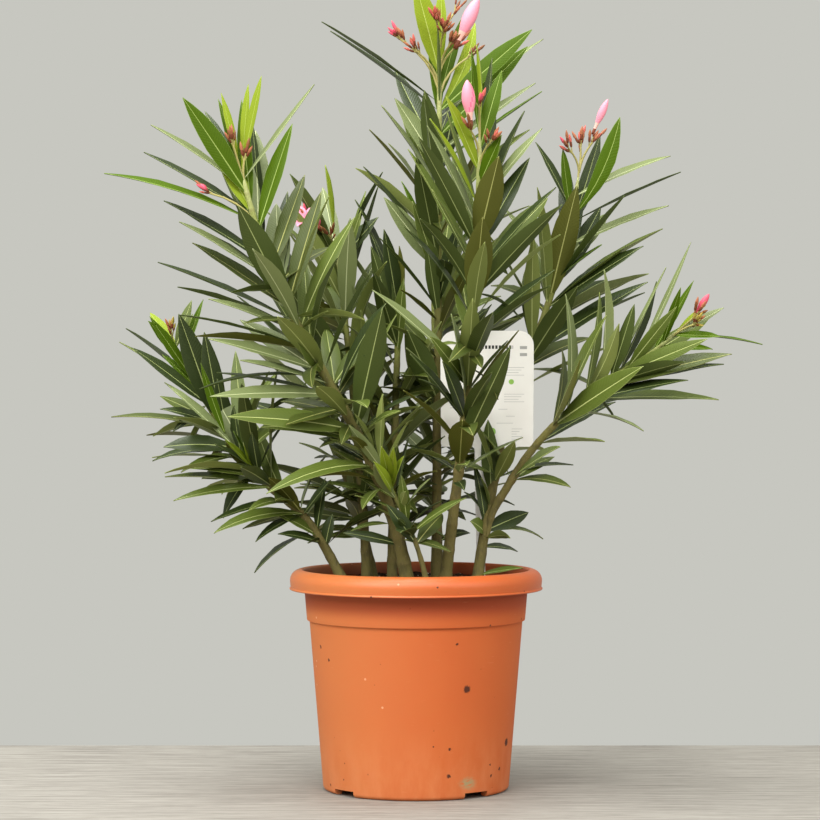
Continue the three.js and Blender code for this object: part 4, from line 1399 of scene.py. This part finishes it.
# Each ray of a flower head: the place of its end, how many small buds are round it and their kind.
HEADS = {
    "left": [((-147, -76, 528), 5, "brown"), ((-138, -74, 516), 4, "brown"),
             ((-166, -78, 489), 3, "rose")],
    "centre": [((44, -58, 541), 3, "brown"), ((51, -56, 560), 4, "rose"), ((60, -60, 531), 6, "coral")],
    "right": [((131, 84, 537), 5, "rose"), ((142, 96, 541), 7, "coral"), ((152, 92, 543), 6, "coral")],
    "far_right": [((226, -52, 384), 8, "gold"), ((227, -50, 391), 5, "brown")],
    "far_left": [((-205, 24, 378), 7, "gold")],
    "top": [((-13, 36, 625), 9, "rose"), ((0, 30, 615), 6, "coral"), ((17, 28, 640), 10, "coral"),
            ((23, 32, 631), 8, "coral"), ((28, 36, 620), 6, "brown"),
            ((33, 52, 650), 4, "brown"), ((34, 44, 620), 3, "coral"), ((46, 62, 614), 4, "brown")],
    "back_left": [((-92, 60, 474), 3, "rose"), ((-82, 58, 466), 4, "rose"), ((-72, 50, 459), 5, "brown"),
                  ((-61, 52, 452), 4, "brown")],
}
# Each head's furled bud: the base, the point, the half-width and the kind of the body's colour.
FURLED = {
    "left": ((-166, -78, 489), (-173, -82, 496), 2.2, "rose"),
    "centre": ((44, -60, 543), (41, -66, 581), 5.6, "pink"),
    "right": ((152, 92, 550), (165, 88, 580), 3.4, "pink"),
    "far_right": ((226, -46, 391), (238, -50, 409), 2.8, "rose"),
    "top": ((33, 44, 618), (53, 46, 662), 6.0, "pink"),
    "back_left": ((-82, 58, 466), (-84, 50, 478), 2.6, "rose"),
}
OPEN_FLOWER = ((-95, 56, 474), (-0.15, -0.75, 0.65))
PETALS = 5
PETAL_LENGTH = 15
PETAL_HALF = 4.2
PETAL_TILT = math.radians(38)
PETAL_DROOP = 50
PETAL_FOLD = 16
PETAL_SWAY = 0.25
RAY_RADIUS = 1.1
RAY_SHORTEST = 24 * MM
RAY_STRAIGHT = 12 * MM
RAY_SLANT = 1.3
STALK_RADIUS = 0.55
STALK_LENGTH = (3, 7)
BUD_SPREAD = 13
BUD_TILT = (8, 40)
BUD_TURN = 2.4
BUD_LENGTH = (8, 13)
BUD_SLIMNESS = 0.122

# The edge of a furled bud's outer petal: its turn at the base, how far it winds round, and the
# width of its shadow and of its groove.
FOLD_START = 2.2
FOLD_WIND = 2.6
FOLD_SHADE = 0.34
FOLD_HALF = 0.4


def fold_away(x, y, z):
    """How far round the bud a point is from the edge of its outer petal."""
    return (math.atan2(y, x) + FOLD_START - FOLD_WIND * z + math.pi) % (2 * math.pi) - math.pi


def turned(profile, sides, groove=0.0):
    """A small shape turned about Z, with the part of each face. A profile row is a radius, a height
    and a part, and a groove winds once round it like the edge of a rolled petal."""
    path = [(radius / MM, z / MM) for radius, z, _ in profile]
    points, faces = lathe(path, sides)
    parts = [profile[1 + i // sides][2] for i in range(len(faces) - 2 * sides)]
    parts += [profile[0][2], profile[-1][2]] * sides
    shaped = []
    for x, y, z in points:
        pinch = 1 - groove * math.exp(-(fold_away(x, y, z) / FOLD_HALF) ** 2)
        shaped.append((x * pinch, y * pinch, z))
    for number, face in enumerate(faces):
        middle = np.mean([points[i] for i in face], axis=0)
        if groove and parts[number] == 2 and 0 < fold_away(*middle) < FOLD_SHADE:
            parts[number] = 3
    return shaped, faces, parts


SMALL_BUD = turned([(0, 0, 0), (0.55, 0.0, 0), (0.85, 0.14, 0), (0.8, 0.36, 0), (0.74, 0.4, 1),
                    (1.0, 0.56, 1), (0.7, 0.78, 1), (0.22, 0.95, 1), (0, 1, 1)], 7)
FURLED_BUD = turned([(0, 0, 0), (0.34, 0.0, 0), (0.42, 0.08, 0), (0.38, 0.16, 1), (0.42, 0.24, 1),
                     (0.58, 0.33, 2), (0.82, 0.43, 2), (0.98, 0.54, 2), (1.0, 0.64, 2),
                     (0.9, 0.75, 2), (0.7, 0.85, 2), (0.42, 0.93, 2), (0.18, 0.98, 2), (0, 1, 2)],
                    20, 0.16)


class Bunch:
    """Copies of small shapes, joined in one mesh."""

    def __init__(self):
        self.points, self.faces, self.finishes = [], [], []

    def put(self, shape, root, point, half, finishes):
        """One copy from its root to its point. Each part of the shape takes its own finish."""
        points, faces, parts = shape
        way = point - root
        turn = way.to_track_quat("Z", "Y").to_matrix()
        first = len(self.points)
        self.points += [root + turn @ Vector((x * half, y * half, z * way.length))
                        for x, y, z in points]
        self.faces += [tuple(first + i for i in face) for face in faces]
        self.finishes += [finishes[part] for part in parts]

    def piece(self, name):
        """All the copies as one plain mesh."""
        made = object_of(name, mesh_of(name, self.points, self.faces))
        for finish in bud_finishes.values():
            made.data.materials.append(finish)
        order = list(bud_finishes)
        for face, finish in zip(made.data.polygons, self.finishes):
            face.material_index = order.index(finish)
            face.use_smooth = True
        return made


def tilted(way, tilt, azimuth):
    """A direction leaned away from another by a tilt, at a turn about it."""
    return way * math.cos(tilt) + round_stem(way, azimuth) * math.sin(tilt)


def petal_soft(make):
    """The faint unevenness of a petal's skin."""
    place = make.place()
    return {"Normal": make.bump(make.noise(place, 700.0, 3.0), 0.2 * MM, 0.5)}


class Stalks:
    """The rays and bud stalks of one flower head, as lines of points with a girth."""

    def __init__(self):
        self.points, self.edges, self.girths = [], [], []

    def run(self, *bends, foot, end):
        """One stalk through these points, as thick as given at its two ends."""
        first = len(self.points)
        self.points += [tuple(bend) for bend in bends]
        self.edges += [(first + i, first + i + 1) for i in range(len(bends) - 1)]
        self.girths += list(np.linspace(foot, end, len(bends)) * MM)

    def piece(self, name):
        """All the stalks as one plain mesh."""
        mesh = bpy.data.meshes.new("stalk_lines")
        mesh.from_pydata(self.points, self.edges, [])
        put_values(mesh, "girth", "FLOAT", self.girths)
        return grown(name, object_of("stalk_lines", mesh), bark_growth,
                     {"Sides": 6, "Unevenness": 0.1, "Material": stalk_green})


bud_finishes = {kind: finish_of("bud_" + kind, petal_soft, Base_Color=colour, Roughness=0.5,
                                Specular_IOR_Level=0.35)
                for kind, colour in BUD_COLOURS.items()}
stalk_green = finish_of("stalk_green", petal_soft, Base_Color=srgb(174, 164, 98), Roughness=0.55)
for number, (shoot, rays) in enumerate(HEADS.items()):
    line, chance = shoot_lines[shoot], random.Random(number + 90)
    stalks, buds = Stalks(), Bunch()
    tip = line.points[-1]
    for end, count, kind in rays:
        end = Vector(end) * MM
        aside = max(abs(end.x - tip[0]) - RAY_STRAIGHT, 0)
        back = RAY_SHORTEST + tip[2] - end.z + RAY_SLANT * aside
        foot, way, _ = line.at(line.length - max(back, 2 * MM))
        knee = foot + way * (end - foot).length * 0.5
        bends = [foot * (1 - t) ** 2 + knee * 2 * t * (1 - t) + end * t * t
                 for t in (0, 0.2, 0.4, 0.6, 0.8, 1)]
        stalks.run(*bends, foot=RAY_RADIUS, end=0.75 * RAY_RADIUS)
        ahead = (end - bends[-2]).normalized()
        for bud in range(count):
            fork = end - ahead * chance.uniform(0, BUD_SPREAD) * MM * (bud / count)
            tilt = math.radians(chance.uniform(*BUD_TILT))
            out = tilted(ahead, tilt, bud * BUD_TURN + chance.random())
            out = (out + UP * 0.35).normalized()
            base = fork + out * chance.uniform(*STALK_LENGTH) * MM
            stalks.run(fork, (fork + base) / 2 + UP * 0.3 * MM, base,
                       foot=STALK_RADIUS, end=STALK_RADIUS)
            length = chance.uniform(*BUD_LENGTH)
            body = chance.choice(BUD_KINDS[kind])
            buds.put(SMALL_BUD, base, base + out * length * MM, length * BUD_SLIMNESS * MM,
                     ("calyx", body))
    if shoot in FURLED:
        base, point, half, kind = FURLED[shoot]
        light = "pale" if kind == "pink" else kind
        buds.put(FURLED_BUD, Vector(base) * MM, Vector(point) * MM, half * MM,
                 ("calyx", light, kind, "deep"))
    for piece in (stalks.piece("stalks_" + shoot), buds.piece("buds_" + shoot)):
        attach(piece, "root")
        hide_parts("foliage_" + shoot)

base, way = Vector(OPEN_FLOWER[0]) * MM, Vector(OPEN_FLOWER[1]).normalized()
corolla = Foliage()
for petal in range(PETALS):
    azimuth = math.radians(360 / PETALS * petal + 20)
    corolla.leaf(base, tilted(way, PETAL_TILT, azimuth), way, PETAL_LENGTH * MM, PETAL_HALF * MM,
                 PETAL_DROOP, PETAL_FOLD, "petal", PETAL_SWAY)
flower = corolla.piece("opening_flower", 5)
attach(flower, "root")
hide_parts("foliage_back_left")
bpy.data.objects.remove(blade)
